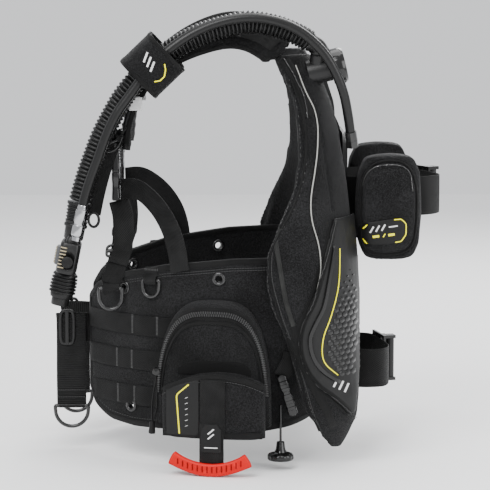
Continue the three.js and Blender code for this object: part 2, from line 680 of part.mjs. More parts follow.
for (const [name, z, reach] of BANDS) {
  add(`tank_band_${name}`, 'webbing', tankBand(z, reach));
  const [from, to] = buckleRun(reach);
  const way = to.clone().sub(from).normalize();
  const out = V(-way.y, way.x, 0);
  const at = from.clone().lerp(to, 0.5).addScaledVector(out, WEB.thick / 2 + 2 * GAP).setZ(z);
  const seat = new THREE.Matrix4().makeBasis(way, out, V(0, 0, 1)).setPosition(at);
  const [frame, lever] = camBuckle();
  add(`cam_frame_${name}`, 'plastic', frame.clone().applyMatrix4(seat));
  add(`cam_lever_${name}`, 'plastic', lever.clone().applyMatrix4(seat));
}

/** A trim weight pouch: a box with soft round corners on the outside of the upper band. */
function trimPouch() {
  const rows = [];
  for (let i = 0; i <= 10; i += 1) {
    const u = i / 10;
    const x = lerp(TRIM.front, TRIM.rear, u);
    const round = TRIM.corner * (1 - Math.sqrt(1 - Math.abs(2 * u - 1) ** 4));
    const points = [];
    for (let k = 0; k <= 5; k += 1) {
      const v = k / 5;
      const full = 0.72 + 0.28 * Math.sin(Math.PI * u) ** 0.5 * Math.sin(Math.PI * v) ** 0.5;
      points.push(V(x, -TRIM.inner - TRIM.deep * full, lerp(TRIM.low + round, TRIM.top - round, v)));
    }
    const back = points.map((p) => V(x, -TRIM.inner, p.z)).reverse();
    rows.push([...points, ...back]);
  }
  return loft(rows);
}
addPair('trim_pouch', 'cordura', trimPouch());

// ---- corrugated hose, elbow and low-pressure lead ----------------------------------
add('corrugated_hose', 'rubber', tube(HOSE_PATH, HOSE.radius, HOSE.sides, HOSE.steps));
add('lp_hose', 'rubber', tube(LEAD_PATH, LEAD.radius, LEAD.sides, LEAD.steps));

/** The direction in which a route leaves its first point, and the point itself. */
function startOf(path) {
  const first = V(...path[0]);
  return [first, V(...path[1]).sub(first).normalize()];
}
const [hoseStart, hoseWay] = startOf(HOSE_PATH);
const onHose = (d) => hoseStart.clone().addScaledVector(hoseWay, d);
const elbowFrom = V(...ELBOW.seat);
const elbowTo = V(...ELBOW.mouth);
add('hose_elbow', 'plastic', cut(join(
  rod(elbowFrom, elbowTo, ELBOW.radius),
  rod(elbowFrom.clone().lerp(elbowTo, 0.5), onHose(-ELBOW.turn), ELBOW.spigot),
  new THREE.SphereGeometry(ELBOW.spigot, 14, 10).translate(...onHose(-ELBOW.turn).toArray()),
  rod(onHose(-ELBOW.turn), onHose(-GAP), ELBOW.spigot),
), lobeShape(0.5)));
const capWay = elbowTo.clone().sub(elbowFrom).normalize();
const capAt = (d) => elbowTo.clone().addScaledVector(capWay, d);
add('elbow_cap', 'plastic', join(
  rod(capAt(GAP), capAt(ELBOW.cap - 3), ELBOW.capRadius, 24),
  rod(capAt(ELBOW.cap - 3.2), capAt(ELBOW.cap), ELBOW.capRadius, 24, ELBOW.capRadius - 3),
));
const [leadStart, leadWay] = startOf(LEAD_PATH);
const onLead = (d) => leadStart.clone().addScaledVector(leadWay, -GAP - d);
add('lp_fitting', 'steel', join(
  rod(onLead(0), onLead(FITTING.sleeve), FITTING.radius, 12),
  rod(onLead(FITTING.sleeve - 0.2), onLead(FITTING.long), FITTING.hex, 6),
));

/** The hook-and-loop wrap: a short rounded sleeve round the strap and both hoses. */
function hoseWrap() {
  const outline = (half, deep, Kind) => {
    const path = new Kind();
    const r = deep * 0.75;
    [[1, 1, 0], [-1, 1, 0.5], [-1, -1, 1], [1, -1, 1.5]].forEach(([sx, sy, turn]) => {
      path.absellipse(sx * (half - r), sy * (deep - r), r, r, turn * Math.PI, (turn + 0.5) * Math.PI);
    });
    return path;
  };
  const shape = outline(WRAP.halfWide, WRAP.halfDeep, THREE.Shape);
  shape.holes.push(outline(WRAP.halfWide - WRAP.wall, WRAP.halfDeep - WRAP.wall, THREE.Path));
  const way = V(...WRAP.way).normalize();
  const across = V(0, 1, 0);
  const seat = new THREE.Matrix4().makeBasis(across, way.clone().cross(across), way)
    .setPosition(V(...WRAP.at));
  const settings = { depth: WRAP.length, bevelEnabled: false, curveSegments: 4 };
  return new THREE.ExtrudeGeometry(shape, settings).translate(0, 0, -WRAP.length / 2).applyMatrix4(seat);
}
add('hose_wrap', 'webbing', hoseWrap());

// ---- inflator ----------------------------------------------------------------------
/** Puts a piece drawn about the inflator's upright axis in its tilted place. */
function onInflator(geometry) {
  return geometry.rotateY(rad(INFLATOR.tilt)).translate(...INFLATOR.at);
}
const { half: inHalf, outer: inOuter, inner: inInner, tall: inTall } = INFLATOR;
const boreZ = -inTall * 0.1;
const boreDeep = BUTTON.deep + BUTTON.travel + SLIP;
const inflateBore = rod(
  V(0, inOuter + boreDeep, boreZ), V(0, inOuter - OVERSHOOT, boreZ), BUTTON.radius + BUTTON.slip, 16,
);
const deflateRoom = block(
  -inHalf - OVERSHOOT, BUTTON.y - BUTTON.half - BUTTON.slip, -BUTTON.tall - BUTTON.slip,
  -inHalf + boreDeep, BUTTON.y + BUTTON.half + BUTTON.slip, BUTTON.tall + BUTTON.slip,
);
const caseBlock = block(-inHalf, inOuter, -inTall / 2, inHalf, inInner, inTall / 2);
add('inflator_body', 'plastic', onInflator(cut(caseBlock, inflateBore, deflateRoom)));
const buttonTop = V(0, inOuter - BUTTON.stand, boreZ);
const buttonFoot = V(0, inOuter + BUTTON.deep, boreZ);
add('inflate_button', 'rubber', onInflator(rod(buttonFoot, buttonTop, BUTTON.radius, 16)));
add('deflate_button', 'steel', onInflator(block(
  -inHalf - BUTTON.stand - BUTTON.travel, BUTTON.y - BUTTON.half, -BUTTON.tall,
  -inHalf + BUTTON.deep, BUTTON.y + BUTTON.half, BUTTON.tall,
)));
const mouthTop = -inTall / 2 - GAP;
const mouthProfile = [[0, 0], [13, 0], [15.5, -5], [17, -14], [17, -27], [14, -33], [11.5, -34],
  [11.5, -43], [8, -43], [8, -14], [0, -14]].map(([r, h]) => [r, mouthTop + h]);
add('mouthpiece', 'rubber', onInflator(turned(mouthProfile, 16)));
const cuffFrom = V(...HOSE_PATH.at(-1));
const cuffTo = V(...CUFF.low);
const cuffWay = cuffTo.clone().sub(cuffFrom).normalize();
cuffFrom.addScaledVector(cuffWay, CUFF.gap);
add('hose_cuff', 'rubber', rod(cuffFrom, cuffTo, CUFF.top, 16, CUFF.bottom));
const couplingTop = V(...LEAD_PATH.at(-1));
const couplingLow = V(...COUPLING.low);
const couplingWay = couplingLow.clone().sub(couplingTop).normalize();
couplingTop.addScaledVector(couplingWay, COUPLING.gap);
add('quick_disconnect', 'steel', rod(couplingTop, couplingLow, COUPLING.radius, 14));

// ---- shoulder buckles and harness webbing ------------------------------------------
/** A box about the buckle's middle line, in from its faces by inset, from low to high. */
function buckleBlock(inset, low, high) {
  const x = BUCKLE.thick / 2 - inset;
  const y = BUCKLE.wide / 2 - inset;
  return block(BUCKLE.x - x, BUCKLE.y - y, low, BUCKLE.x + x, BUCKLE.y + y, high);
}
addPair('buckle_socket', 'plastic', cut(
  buckleBlock(0, BUCKLE.low, BUCKLE.split),
  buckleBlock(BUCKLE.wall, BUCKLE.split - BUCKLE.tongue - 2 * SLIP, BUCKLE.split + OVERSHOOT),
));
addPair('buckle_plug', 'plastic', join(
  buckleBlock(0, BUCKLE.split + GAP, BUCKLE.high),
  buckleBlock(BUCKLE.wall + SLIP, BUCKLE.split - BUCKLE.tongue, BUCKLE.split + OVERSHOOT),
));
addPair('front_strap', 'webbing', ribbon(FRONT_STRAP, WEB.wide, WEB.thick, 12, () => [1, 0, 0.1]));
addPair('rear_strap', 'webbing', ribbon(
  REAR_STRAP, WEB.wide, WEB.thick, 14, (u) => [0.92 * u, -0.38 * u, 1 - u],
));
addPair('chest_ring', 'steel', dRing(CHEST_RING.at, [1, 0, 0], CHEST_RING));
addPair('panel_ring', 'steel', dRing(onWaist(...PANEL_RING.place).toArray(), PANEL_RING.along, PANEL_RING));

// ---- waist belt's front end --------------------------------------------------------
const beltHalf = WEB.belt / 2;
const beltTop = BELT.z + beltHalf;
const beltFace = BELT.y - WEB.thick;
const beltRun = block(BELT.front, beltFace, BELT.z - beltHalf, panelFrontX - GAP, BELT.y, beltTop);
const beltDrop = block(
  BELT.dropX - beltHalf, beltFace - WEB.thick, BELT.low,
  BELT.dropX + beltHalf, beltFace + WEB.thick / 10, beltTop,
);
addPair('belt_strap', 'webbing', join(beltRun, beltDrop));
const beltRingAt = [BELT.dropX, beltFace - WEB.thick / 2, BELT.low - RING_WIRE - GAP];
addPair('belt_ring', 'steel', dRing(beltRingAt, [1, 0, 0], BELT_RING));

// ---- side adjuster and dump knob ---------------------------------------------------
const adjusterRows = [0, 1].map((end) => {
  const [x, z] = ADJUSTER.ends[end];
  const y = -WAIST.half - GAP;
  const w = ADJUSTER.wide / 2;
  return [V(x - w, y, z), V(x + w, y, z), V(x + w, y - ADJUSTER.thick, z), V(x - w, y - ADJUSTER.thick, z)];
});
addPair('side_adjuster', 'plastic', loft(adjusterRows));
const knobProfile = [[0, 0], [5, 0], [6, -9], [8, -13], [15, -15], [16.5, -18], [16.5, -21],
  [14, -23], [6, -24], [0, -24]];
const [knobX, knobY, knobTop] = KNOB.at;
add('dump_knob', 'plastic', join(
  turned(knobProfile, 18).translate(...KNOB.at),
  rod(V(knobX, knobY, knobTop - 2), V(knobX, knobY, KNOB.cordTop), KNOB.cord, 8),
));

export default group;
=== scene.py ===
# %% [markdown]
# # A diver's buoyancy vest
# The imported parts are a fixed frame: their places and sizes are right, and their looks are plain.
# This lesson puts the real surfaces round them: ribbed hose, sewn and padded nylon, webbing, moulded
# plastic and steel. Shapes are worked out in millimetres with numpy and turned into metres when the
# mesh is made. The wearer faces -X, so their left side, with the inflator, is -Y.

# %% Load the frame
import json
import math
import bmesh
import bpy
import numpy as np
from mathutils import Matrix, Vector
from mathutils.bvhtree import BVHTree

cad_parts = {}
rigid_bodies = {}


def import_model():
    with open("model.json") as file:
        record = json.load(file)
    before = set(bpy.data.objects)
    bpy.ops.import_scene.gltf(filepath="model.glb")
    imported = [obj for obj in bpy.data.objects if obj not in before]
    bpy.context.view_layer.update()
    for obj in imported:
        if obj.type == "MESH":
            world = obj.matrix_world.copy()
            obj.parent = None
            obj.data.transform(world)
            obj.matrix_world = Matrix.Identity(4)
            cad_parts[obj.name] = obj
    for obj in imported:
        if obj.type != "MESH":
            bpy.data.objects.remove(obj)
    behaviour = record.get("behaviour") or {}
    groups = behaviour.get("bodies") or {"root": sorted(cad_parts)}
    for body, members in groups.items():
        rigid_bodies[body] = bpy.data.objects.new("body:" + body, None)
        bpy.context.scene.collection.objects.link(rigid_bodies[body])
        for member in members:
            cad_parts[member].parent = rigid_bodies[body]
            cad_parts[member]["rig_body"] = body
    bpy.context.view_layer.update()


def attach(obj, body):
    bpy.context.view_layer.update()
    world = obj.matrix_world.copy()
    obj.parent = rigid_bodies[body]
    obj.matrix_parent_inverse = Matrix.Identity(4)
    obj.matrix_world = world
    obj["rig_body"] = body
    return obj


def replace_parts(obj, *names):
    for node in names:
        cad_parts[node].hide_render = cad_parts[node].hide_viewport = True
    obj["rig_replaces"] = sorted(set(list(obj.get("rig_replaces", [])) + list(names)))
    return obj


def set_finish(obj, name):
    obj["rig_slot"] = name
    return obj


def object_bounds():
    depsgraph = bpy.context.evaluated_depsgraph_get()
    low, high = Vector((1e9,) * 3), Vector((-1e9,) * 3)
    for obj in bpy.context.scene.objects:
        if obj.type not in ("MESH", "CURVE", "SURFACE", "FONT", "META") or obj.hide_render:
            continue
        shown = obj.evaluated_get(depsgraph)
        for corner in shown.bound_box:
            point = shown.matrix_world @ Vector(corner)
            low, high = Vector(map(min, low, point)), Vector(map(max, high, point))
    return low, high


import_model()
MM = 0.001
REST = "vest"
seen = {piece.name for piece in bpy.data.objects}


def add_object(name, data):
    made_now = bpy.data.objects.new(name, data)
    bpy.context.scene.collection.objects.link(made_now)
    return made_now


def made(step):
    """Prints how many pieces a step added, and how many faces they have."""
    new = [piece for piece in bpy.data.objects if piece.type == "MESH" and piece.name not in seen]
    seen.update(piece.name for piece in new)
    print(step, "-", len(new), "pieces,", sum(len(piece.data.polygons) for piece in new), "faces")

# %% [markdown]
# ## Camera
# A long lens far away keeps the vest's proportions, as a studio picture of a product does. The camera
# looks at the wearer's left side from a little above.

# %% Camera
AIM = Vector((-0.130, 0.0, 0.039))
TURN, RISE = math.radians(-1.0), math.radians(7.4)
DISTANCE, LENS = 3.0, 169.5
back = Vector((math.sin(TURN) * math.cos(RISE), -math.cos(TURN) * math.cos(RISE), math.sin(RISE)))
camera = add_object("camera", bpy.data.cameras.new("camera"))
camera.data.lens = LENS
camera.location = AIM + back * DISTANCE
camera.rotation_euler = (-back).to_track_quat("-Z", "Y").to_euler()
bpy.context.scene.camera = camera
print("camera", [round(c, 2) for c in camera.location], "lens", LENS)

# %% [markdown]
# ## Shader maths
# A material is easier to read as arithmetic than as a web of nodes. `Wire` holds one output socket;
# adding or multiplying two of them adds a Math node, and `node` makes any other node.

# %% Wire
class Wire:
    """One output socket of a material's node tree, with arithmetic on it."""

    def __init__(self, tree, socket=None):
        self.tree = tree
        self.socket = socket

    def node(self, kind, settings=None, inputs=None, output=0):
        """Adds a node: settings first, then each input's value or link. Returns one output."""
        made = self.tree.nodes.new(kind)
        for name, value in (settings or {}).items():
            setattr(made, name, value)
        for name, value in (inputs or {}).items():
            if isinstance(value, Wire):
                self.tree.links.new(value.socket, made.inputs[name])
            else:
                made.inputs[name].default_value = value
        return Wire(self.tree, made.outputs[output])

    def math(self, operation, first, second=0.0):
        return self.node("ShaderNodeMath", {"operation": operation}, {0: first, 1: second})

    def __add__(self, other):
        return self.math("ADD", self, other)

    def __sub__(self, other):
        return self.math("SUBTRACT", self, other)

    def __rsub__(self, other):
        return self.math("SUBTRACT", other, self)

    def __mul__(self, other):
        return self.math("MULTIPLY", self, other)

    def __gt__(self, other):
        return self.math("GREATER_THAN", self, other)

    def sine(self):
        return self.math("SINE", self)

    def size(self):
        return self.math("ABSOLUTE", self)

    def fade(self, low, high):
        """0 below low, 1 above high and a smooth rise between them."""
        settings = {"interpolation_type": "SMOOTHSTEP"}
        return self.node("ShaderNodeMapRange", settings, {0: self, 1: low, 2: high, 3: 0.0, 4: 1.0})

    def mix(self, low, high):
        """A colour between low and high, by this value."""
        return self.node("ShaderNodeMix", {"data_type": "RGBA"}, {0: self, 6: low, 7: high}, 2)


# %% [markdown]
# ## Where a pattern lies
# Woven cloth must follow the surface. New pieces carry a UV map in metres. Padded pieces that went
# through a simulation have none, so their weave takes the two coordinates that the surface faces:
# x and z on the sides, y and z on the front and back, x and y on top.

# %% Pattern places
def start(name):
    """A new material: returns it with a Wire on its tree."""
    material = bpy.data.materials.new(name)
    material.use_nodes = True
    return material, Wire(material.node_tree)


def object_place(wire):
    return wire.node("ShaderNodeTexCoord", None, None, 3)


def split(wire, vector):
    """The three parts of a vector."""
    return [wire.node("ShaderNodeSeparateXYZ", None, {0: vector}, k) for k in range(3)]


def facing_place(wire):
    """Two lengths along the surface, in metres, from the position and the way it faces."""
    x, y, z = split(wire, object_place(wire))
    nx, ny, nz = [part.size() for part in split(wire, wire.node("ShaderNodeTexCoord", None, None, 1))]
    end_on = nx > ny
    flat = nz > 0.75
    across = x + end_on * (y - x)
    rise = z + flat * (y - z)
    return across, rise


def uv_place(wire):
    u, v, _ = split(wire, wire.node("ShaderNodeTexCoord", None, None, 2))
    return u, v


def noise(wire, scale, detail=3.0):
    inputs = {"Vector": object_place(wire), "Scale": scale, "Detail": detail}
    return wire.node("ShaderNodeTexNoise", None, inputs, 0)


def close(wire, material, height=None, relief=0.0003, **finish):
    """Feeds the material's shader: numbers and Wires by socket name, and height as a bump."""
    shader = material.node_tree.nodes["Principled BSDF"]
    for name, value in finish.items():
        socket = shader.inputs[name.replace("_", " ")]
        if isinstance(value, Wire):
            wire.tree.links.new(value.socket, socket)
        else:
            socket.default_value = value
    if height is not None:
        bump = wire.node(
            "ShaderNodeBump", None, {"Height": height, "Distance": relief, "Strength": 1.0}
        )
        wire.tree.links.new(bump.socket, shader.inputs["Normal"])
    return material


def grey(level, tint=(1.0, 1.0, 1.0)):
    return (level * tint[0], level * tint[1], level * tint[2], 1.0)


# %% [markdown]
# ## Cloth finishes
# Coated nylon is a basket weave of thick yarn: two sines multiplied give the over and under. The face
# is dusty and a little uneven, so broad noise moves the colour and the roughness. Fine noise at the
# size of one yarn lights up specks of the colour: painted highlights that stand for the glints of
# single threads. The same weave serves pads and strips, with a finer pitch on lining and a diagonal rib
# on webbing.

# %% Nylon, lining, webbing and binding
WEAVE = 0.0011


def nylon(name, level, place=facing_place, rough=0.62):
    material, wire = start(name)
    across, rise = place(wire)
    turn = 2 * math.pi / WEAVE
    weave = (across * turn).sine() * (rise * turn).sine()
    dust = noise(wire, 16.0, 5.0)
    # Fine noise at the size of one yarn: where it runs high the colour is lighter, painted highlights
    # that stand for the glints of single threads. It also feeds the bump.
    thread_glint = noise(wire, 620.0, 2.0)
    shade = (dust * 0.35 + thread_glint * 0.65 + weave * 0.12).fade(0.36, 0.72)
    colour = shade.mix(grey(level * 0.25), grey(level * 4.6, (1.0, 1.0, 1.05)))
    height = weave * 0.8 + thread_glint * 2.2 + dust * 1.5
    return close(
        wire, material, height, 0.0004, Base_Color=colour, Roughness=dust * 0.3 + (rough - 0.1),
        Sheen_Weight=0.04, Sheen_Roughness=0.45, Specular_IOR_Level=0.1,
    )


def ribbed_cloth(name, level, pitch, slant, rough=0.6, tint=(1.0, 1.0, 1.0), relief=0.0004):
    """Webbing and tape: ribs across the strip that lean by slant, as a twill's do."""
    material, wire = start(name)
    u, v = uv_place(wire)
    rib = ((u + v * slant) * (2 * math.pi / pitch)).sine()
    wear = noise(wire, 60.0, 4.0)
    colour = (rib * 0.15 + wear).fade(0.2, 0.9).mix(grey(level * 0.5, tint), grey(level * 1.7, tint))
    return close(
        wire, material, rib + wear * 0.8, relief, Base_Color=colour,
        Roughness=wear * 0.3 + (rough - 0.15), Sheen_Weight=0.03, Specular_IOR_Level=0.13,
    )


def spacer_mesh(name, level):
    """Knitted lining with a round hole at each crossing of a slanted net."""
    material, wire = start(name)
    across, rise = facing_place(wire)
    turn = 2 * math.pi / 0.0032
    net = ((across + rise) * turn).sine() * ((across - rise) * turn).sine()
    hole = net.fade(0.25, 0.6)
    # The holes are painted darker than the knit: painted shade down in them.
    colour = hole.mix(grey(level), grey(level * 0.3))
    return close(
        wire, material, 1 - hole, 0.0006, Base_Color=colour,
        Roughness=noise(wire, 30.0) * 0.2 + 0.75, Specular_IOR_Level=0.12,
    )


NYLON = nylon("coated_nylon", 0.0055)
NYLON_FLAT = nylon("coated_nylon_strip", 0.0050, uv_place, 0.58)
LINING = spacer_mesh("spacer_lining", 0.006)
WEBBING = ribbed_cloth("webbing", 0.0075, 0.0021, 0.8)
BINDING = ribbed_cloth("edge_binding", 0.0055, 0.0013, 0.0, 0.55)
GREY_TAPE = ribbed_cloth("grey_stretch_tape", 0.024, 0.0016, 1.0, 0.75, (1.0, 1.02, 0.98))
BELT_WEB = ribbed_cloth("belt_webbing", 0.0065, 0.0024, 0.0, 0.5)

# %% [markdown]
# ## Rubber, plastic and metal
# Moulded pieces differ in gloss more than in colour. Each gets a fine grain for its bump, cloudy
# roughness from handling, and lighter scuffs where noise runs high.

# %% Moulded and metal finishes
def moulded(
    name, colour, rough, grain=900.0, relief=0.00008, scuff=0.06, metal=0.0, coat=0.0, shine=0.5
):
    material, wire = start(name)
    fine = noise(wire, grain, 2.0)
    cloud = noise(wire, 35.0, 5.0)
    worn = noise(wire, 140.0, 6.0).fade(0.62, 0.75)
    lighter = tuple(min(1.0, c * 1.5 + 0.01) for c in colour[:3]) + (1.0,)
    return close(
        wire, material, fine + cloud * 0.4, relief, Base_Color=(worn * 0.5).mix(colour, lighter),
        Roughness=cloud * 0.16 + worn * scuff + (rough - 0.08), Metallic=metal, Coat_Weight=coat,
        Coat_Roughness=0.12, Specular_IOR_Level=shine,
    )


RUBBER = moulded("hose_rubber", grey(0.006), 0.34, 500.0, 0.0001, shine=0.28)
SOFT_RUBBER = moulded("soft_rubber", grey(0.006), 0.5, 700.0, 0.0001, shine=0.2)
GLOSSY = moulded("gloss_plastic", grey(0.005), 0.18, 300.0, 0.00002, 0.12, 0.0, 0.15, 0.35)
MATTE = moulded("matte_plastic", grey(0.008), 0.38, 1400.0, 0.00006, 0.1, shine=0.3)
SLATE = moulded("slate_plastic", grey(0.075, (1.0, 1.02, 1.06)), 0.35, 1200.0, 0.00005)
ARMOUR = moulded("armour_rubber", grey(0.007), 0.45, 1500.0, 0.00008, 0.08, shine=0.22)
RIDGE = moulded("armour_gloss", grey(0.006), 0.26, 400.0, 0.00003, 0.1, 0.0, 0.1, 0.3)
RED = moulded("red_handle", (0.52, 0.0005, 0.0008, 1.0), 0.42, 600.0, 0.00005, 0.05, 0.0, 0.0, 0.18)
YELLOW = moulded("yellow_print", (0.86, 0.80, 0.008, 1.0), 0.5, 900.0, 0.00004, shine=0.2)
PALE = moulded("pale_print", grey(0.62), 0.5, 900.0, 0.00004)
REFLECT = moulded("reflective_piping", grey(0.24, (1.0, 1.0, 0.93)), 0.35, 2400.0, 0.00005)
TAN = moulded("tan_label", (0.32, 0.27, 0.17, 1.0), 0.5, 900.0, 0.00004)
COATED_STEEL = moulded("black_coated_steel", grey(0.02), 0.22, 1500.0, 0.00003, 0.15, 0.5, 0.3)
# Zip teeth: dark plastic made a lighter grey than it is, partly painted highlight that stands for the
# small glints on the teeth.
ZIP_PLASTIC_HIGHLIT = moulded("zip_plastic", grey(0.03), 0.28, 900.0, 0.00003, 0.1, shine=0.5)
# Dark red for blocks on the handle's face: painted shade that stands for the grooves between its ribs.
RED_GROOVE_SHADE = moulded(
    "red_handle_slots", (0.16, 0.0005, 0.0008, 1.0), 0.5, 600.0, 0.00005, 0.02, shine=0.1
)
CHROME = moulded("chromed_brass", grey(0.42, (1.0, 1.0, 1.02)), 0.14, 900.0, 0.00001, 0.08, 1.0)
THREAD = moulded("sewing_thread", grey(0.035), 0.5, 1500.0, 0.00005)
SLOTS = {
    finish.name: slot
    for slot, finishes in {
        "cordura": [NYLON, NYLON_FLAT],
        "lining": [LINING],
        "webbing": [WEBBING, BINDING, GREY_TAPE, BELT_WEB, THREAD, REFLECT],
        "hose_rubber": [RUBBER],
        "armour_rubber": [SOFT_RUBBER, ARMOUR, RIDGE],
        "gloss_plastic": [GLOSSY, YELLOW, PALE],
        "matte_plastic": [MATTE, SLATE, TAN, ZIP_PLASTIC_HIGHLIT],
        "red_plastic": [RED, RED_GROOVE_SHADE],
        "steel": [COATED_STEEL],
        "chrome": [CHROME],
    }.items()
    for finish in finishes
}
print("materials", len(bpy.data.materials), "slots", len(set(SLOTS.values())))

# %% [markdown]
# ## From arrays to meshes
# Every new piece is a closed skin over a grid of points. Rows run along the piece and columns go
# round it, so one function can make hoses, straps, buckles and pads. If its signed volume comes out
# negative, the faces are turned round.

# %% Mesh helpers
def unit(vectors):
    return vectors / np.maximum(np.linalg.norm(vectors, axis=-1, keepdims=True), 1e-12)


def signed_volume(points, faces):
    """Six times the volume inside a skin of four-cornered faces."""
    a, b, c, d = (points[faces[:, k]] for k in range(4))
    return (np.cross(a, b) * c).sum() + (np.cross(a, c) * d).sum()


def write_mesh(name, points, quads, uv, ends=()):
    """points in mm, quads as index rows, uv in metres for each corner, and ends as index loops."""
    middle = points.mean(0)
    shifted = points - middle
    volume = signed_volume(shifted, quads)
    for loop in ends:
        fan = np.array([[loop[0], loop[k], loop[k + 1], loop[k + 1]] for k in range(1, len(loop) - 1)])
        volume += signed_volume(shifted, fan)
    if volume < 0:
        quads = quads[:, ::-1]
        uv = uv[:, ::-1]
        ends = [list(loop)[::-1] for loop in ends]
    mesh = bpy.data.meshes.new(name)
    mesh.from_pydata((points * MM).tolist(), [], quads.tolist() + [list(loop) for loop in ends])
    layer = mesh.uv_layers.new(name="UVMap")
    flat = np.zeros((len(mesh.loops), 2))
    flat[: quads.size] = uv.reshape(-1, 2)
    layer.data.foreach_set("uv", flat.ravel())
    mesh.shade_smooth()
    mesh.set_sharp_from_angle(angle=math.radians(42))
    piece = add_object(name, mesh)
    return piece


def lengths(grid, axis):
    """Distance run along an axis of a grid of points, from its first row."""
    steps = np.linalg.norm(np.diff(grid, axis=axis), axis=-1)
    lead = [(1, 0), (0, 0)] if axis == 0 else [(0, 0), (1, 0)]
    return np.cumsum(np.pad(steps, lead), axis=axis)


def skin(name, grid, ring=False):
    """A closed skin over grid[row, column]: columns go round, rows join up when ring is set."""
    rows, columns, _ = grid.shape
    index = np.arange(rows * columns).reshape(rows, columns)
    below = np.roll(index, -1, 0) if ring else index[1:]
    above = index if ring else index[:-1]
    quads = np.stack([above, below, np.roll(below, -1, 1), np.roll(above, -1, 1)], -1)
    wide = np.concatenate([grid, grid[:, :1]], 1)
    tall = np.concatenate([wide, wide[:1]], 0) if ring else wide
    place = np.stack(
        [lengths(tall, 0).mean(1, keepdims=True) + 0 * lengths(tall, 1), lengths(tall, 1)], -1
    ) * MM
    uv = np.stack([place[:-1, :-1], place[1:, :-1], place[1:, 1:], place[:-1, 1:]], -2)
    ends = [] if ring else [index[0][::-1].tolist(), index[-1].tolist()]
    return write_mesh(name, grid.reshape(-1, 3), quads.reshape(-1, 4), uv.reshape(-1, 4, 2), ends)


def slab(name, outer, inner):
    """A closed sheet between two grids of the same shape, joined along their borders."""
    rows, columns, _ = outer.shape
    top = np.arange(rows * columns).reshape(rows, columns)
    low = top + rows * columns

    def cells(g):
        return np.stack([g[:-1, :-1], g[1:, :-1], g[1:, 1:], g[:-1, 1:]], -1).reshape(-1, 4)

    rim_top = np.concatenate([top[0, :-1], top[:-1, -1], top[-1, :0:-1], top[:0:-1, 0]])
    rim_low = rim_top + rows * columns
    rim = np.stack([rim_top, np.roll(rim_top, -1), np.roll(rim_low, -1), rim_low], -1)
    quads = np.concatenate([cells(top), cells(low)[:, ::-1], rim])
    place = np.stack([lengths(outer, 0), lengths(outer, 1)], -1).reshape(-1, 2) * MM
    points = np.concatenate([outer.reshape(-1, 3), inner.reshape(-1, 3)])
    return write_mesh(name, points, quads, np.concatenate([place, place])[quads])


def put(piece, material, body=REST, replaces=(), slot=None):
    """Gives a piece its finish, its body, the nodes that it stands for and its record slot."""
    piece.data.materials.clear()
    piece.data.materials.append(material)
    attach(piece, body)
    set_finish(piece, slot or SLOTS[material.name])
    if replaces:
        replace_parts(piece, *replaces)
    return piece


def other_side(name):
    return name.replace("left", "right")


def twin(piece, body=None):
    """The same piece on the wearer's right: y turned over, and the faces turned to match."""
    mesh = piece.data.copy()
    mesh.name = other_side(piece.name)
    points = np.empty(len(mesh.vertices) * 3)
    mesh.vertices.foreach_get("co", points)
    points = points.reshape(-1, 3) * (1, -1, 1)
    mesh.vertices.foreach_set("co", points.ravel())
    mesh.flip_normals()
    copy = add_object(mesh.name, mesh)
    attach(copy, body or other_side(piece["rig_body"]))
    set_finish(copy, piece["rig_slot"])
    nodes = [other_side(node) for node in piece.get("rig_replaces", [])]
    if nodes and not body:
        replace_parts(copy, *nodes)
    return copy


def both(*piece_and_finish, **slot):
    """Finishes a left piece as put does, and adds its twin on the right."""
    return twin(put(*piece_and_finish, **slot))


def swollen(piece, pair=True):
    """Makes the twin of a padded piece on the right, where it has one."""
    for side in (piece, twin(piece)) if pair else (piece,):
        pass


def smooth_path(points, count, ring=False):
    """Centripetal Catmull-Rom curve through points, at count places an equal distance apart."""
    p = np.array(points, float)
    if ring:
        p = np.concatenate([p[-1:], p, p[:2]])
    else:
        p = np.concatenate([[2 * p[0] - p[1]], p, [2 * p[-1] - p[-2]]])
    gaps = np.maximum(np.linalg.norm(np.diff(p, axis=0), axis=1) ** 0.5, 1e-9)
    t = np.concatenate([[0.0], np.cumsum(gaps)])
    k = np.repeat(np.arange(1, len(p) - 2), 24)
    s = np.tile(np.arange(24) / 24, len(p) - 3)
    at = (t[k] + s * (t[k + 1] - t[k]))[:, None]

    def between(a, b, pa, pb, x):
        return ((t[b][:, None] - x) * pa + (x - t[a][:, None]) * pb) / (t[b] - t[a])[:, None]

    a1 = between(k - 1, k, p[k - 1], p[k], at)
    a2 = between(k, k + 1, p[k], p[k + 1], at)
    a3 = between(k + 1, k + 2, p[k + 1], p[k + 2], at)
    curve = between(k, k + 1, between(k - 1, k + 1, a1, a2, at), between(k, k + 2, a2, a3, at), at)
    curve = np.concatenate([curve, p[-2:-1]])
    run = np.concatenate([[0.0], np.cumsum(np.linalg.norm(np.diff(curve, axis=0), axis=1))])
    places = np.linspace(0, run[-1], count + 1)[:-1] if ring else np.linspace(0, run[-1], count)
    return np.stack([np.interp(places, run, curve[:, i]) for i in range(p.shape[1])], -1)


def full_turn(count):
    """Angles an equal step apart, once round."""
    return np.arange(count) / count * 2 * np.pi


def squarish(angle, exponent):
    """Cosine and sine, each raised to an exponent with its sign kept: 1 is a circle, 0 a square."""
    c, s = np.cos(angle), np.sin(angle)
    return np.sign(c) * np.abs(c) ** exponent, np.sign(s) * np.abs(s) ** exponent


def evened(rows, times, ring=False):
    """Rows drawn towards their neighbours, a quarter from each side, several times."""
    rows = rows.copy()
    for _ in range(times):
        if ring:
            rows = (np.roll(rows, 1, 0) + 2 * rows + np.roll(rows, -1, 0)) / 4
        else:
            rows[1:-1] = (rows[:-2] + 2 * rows[1:-1] + rows[2:]) / 4
    return rows


def tangents(path, ring=False):
    if ring:
        return unit(np.roll(path, -1, 0) - np.roll(path, 1, 0))
    return unit(np.gradient(path, axis=0))


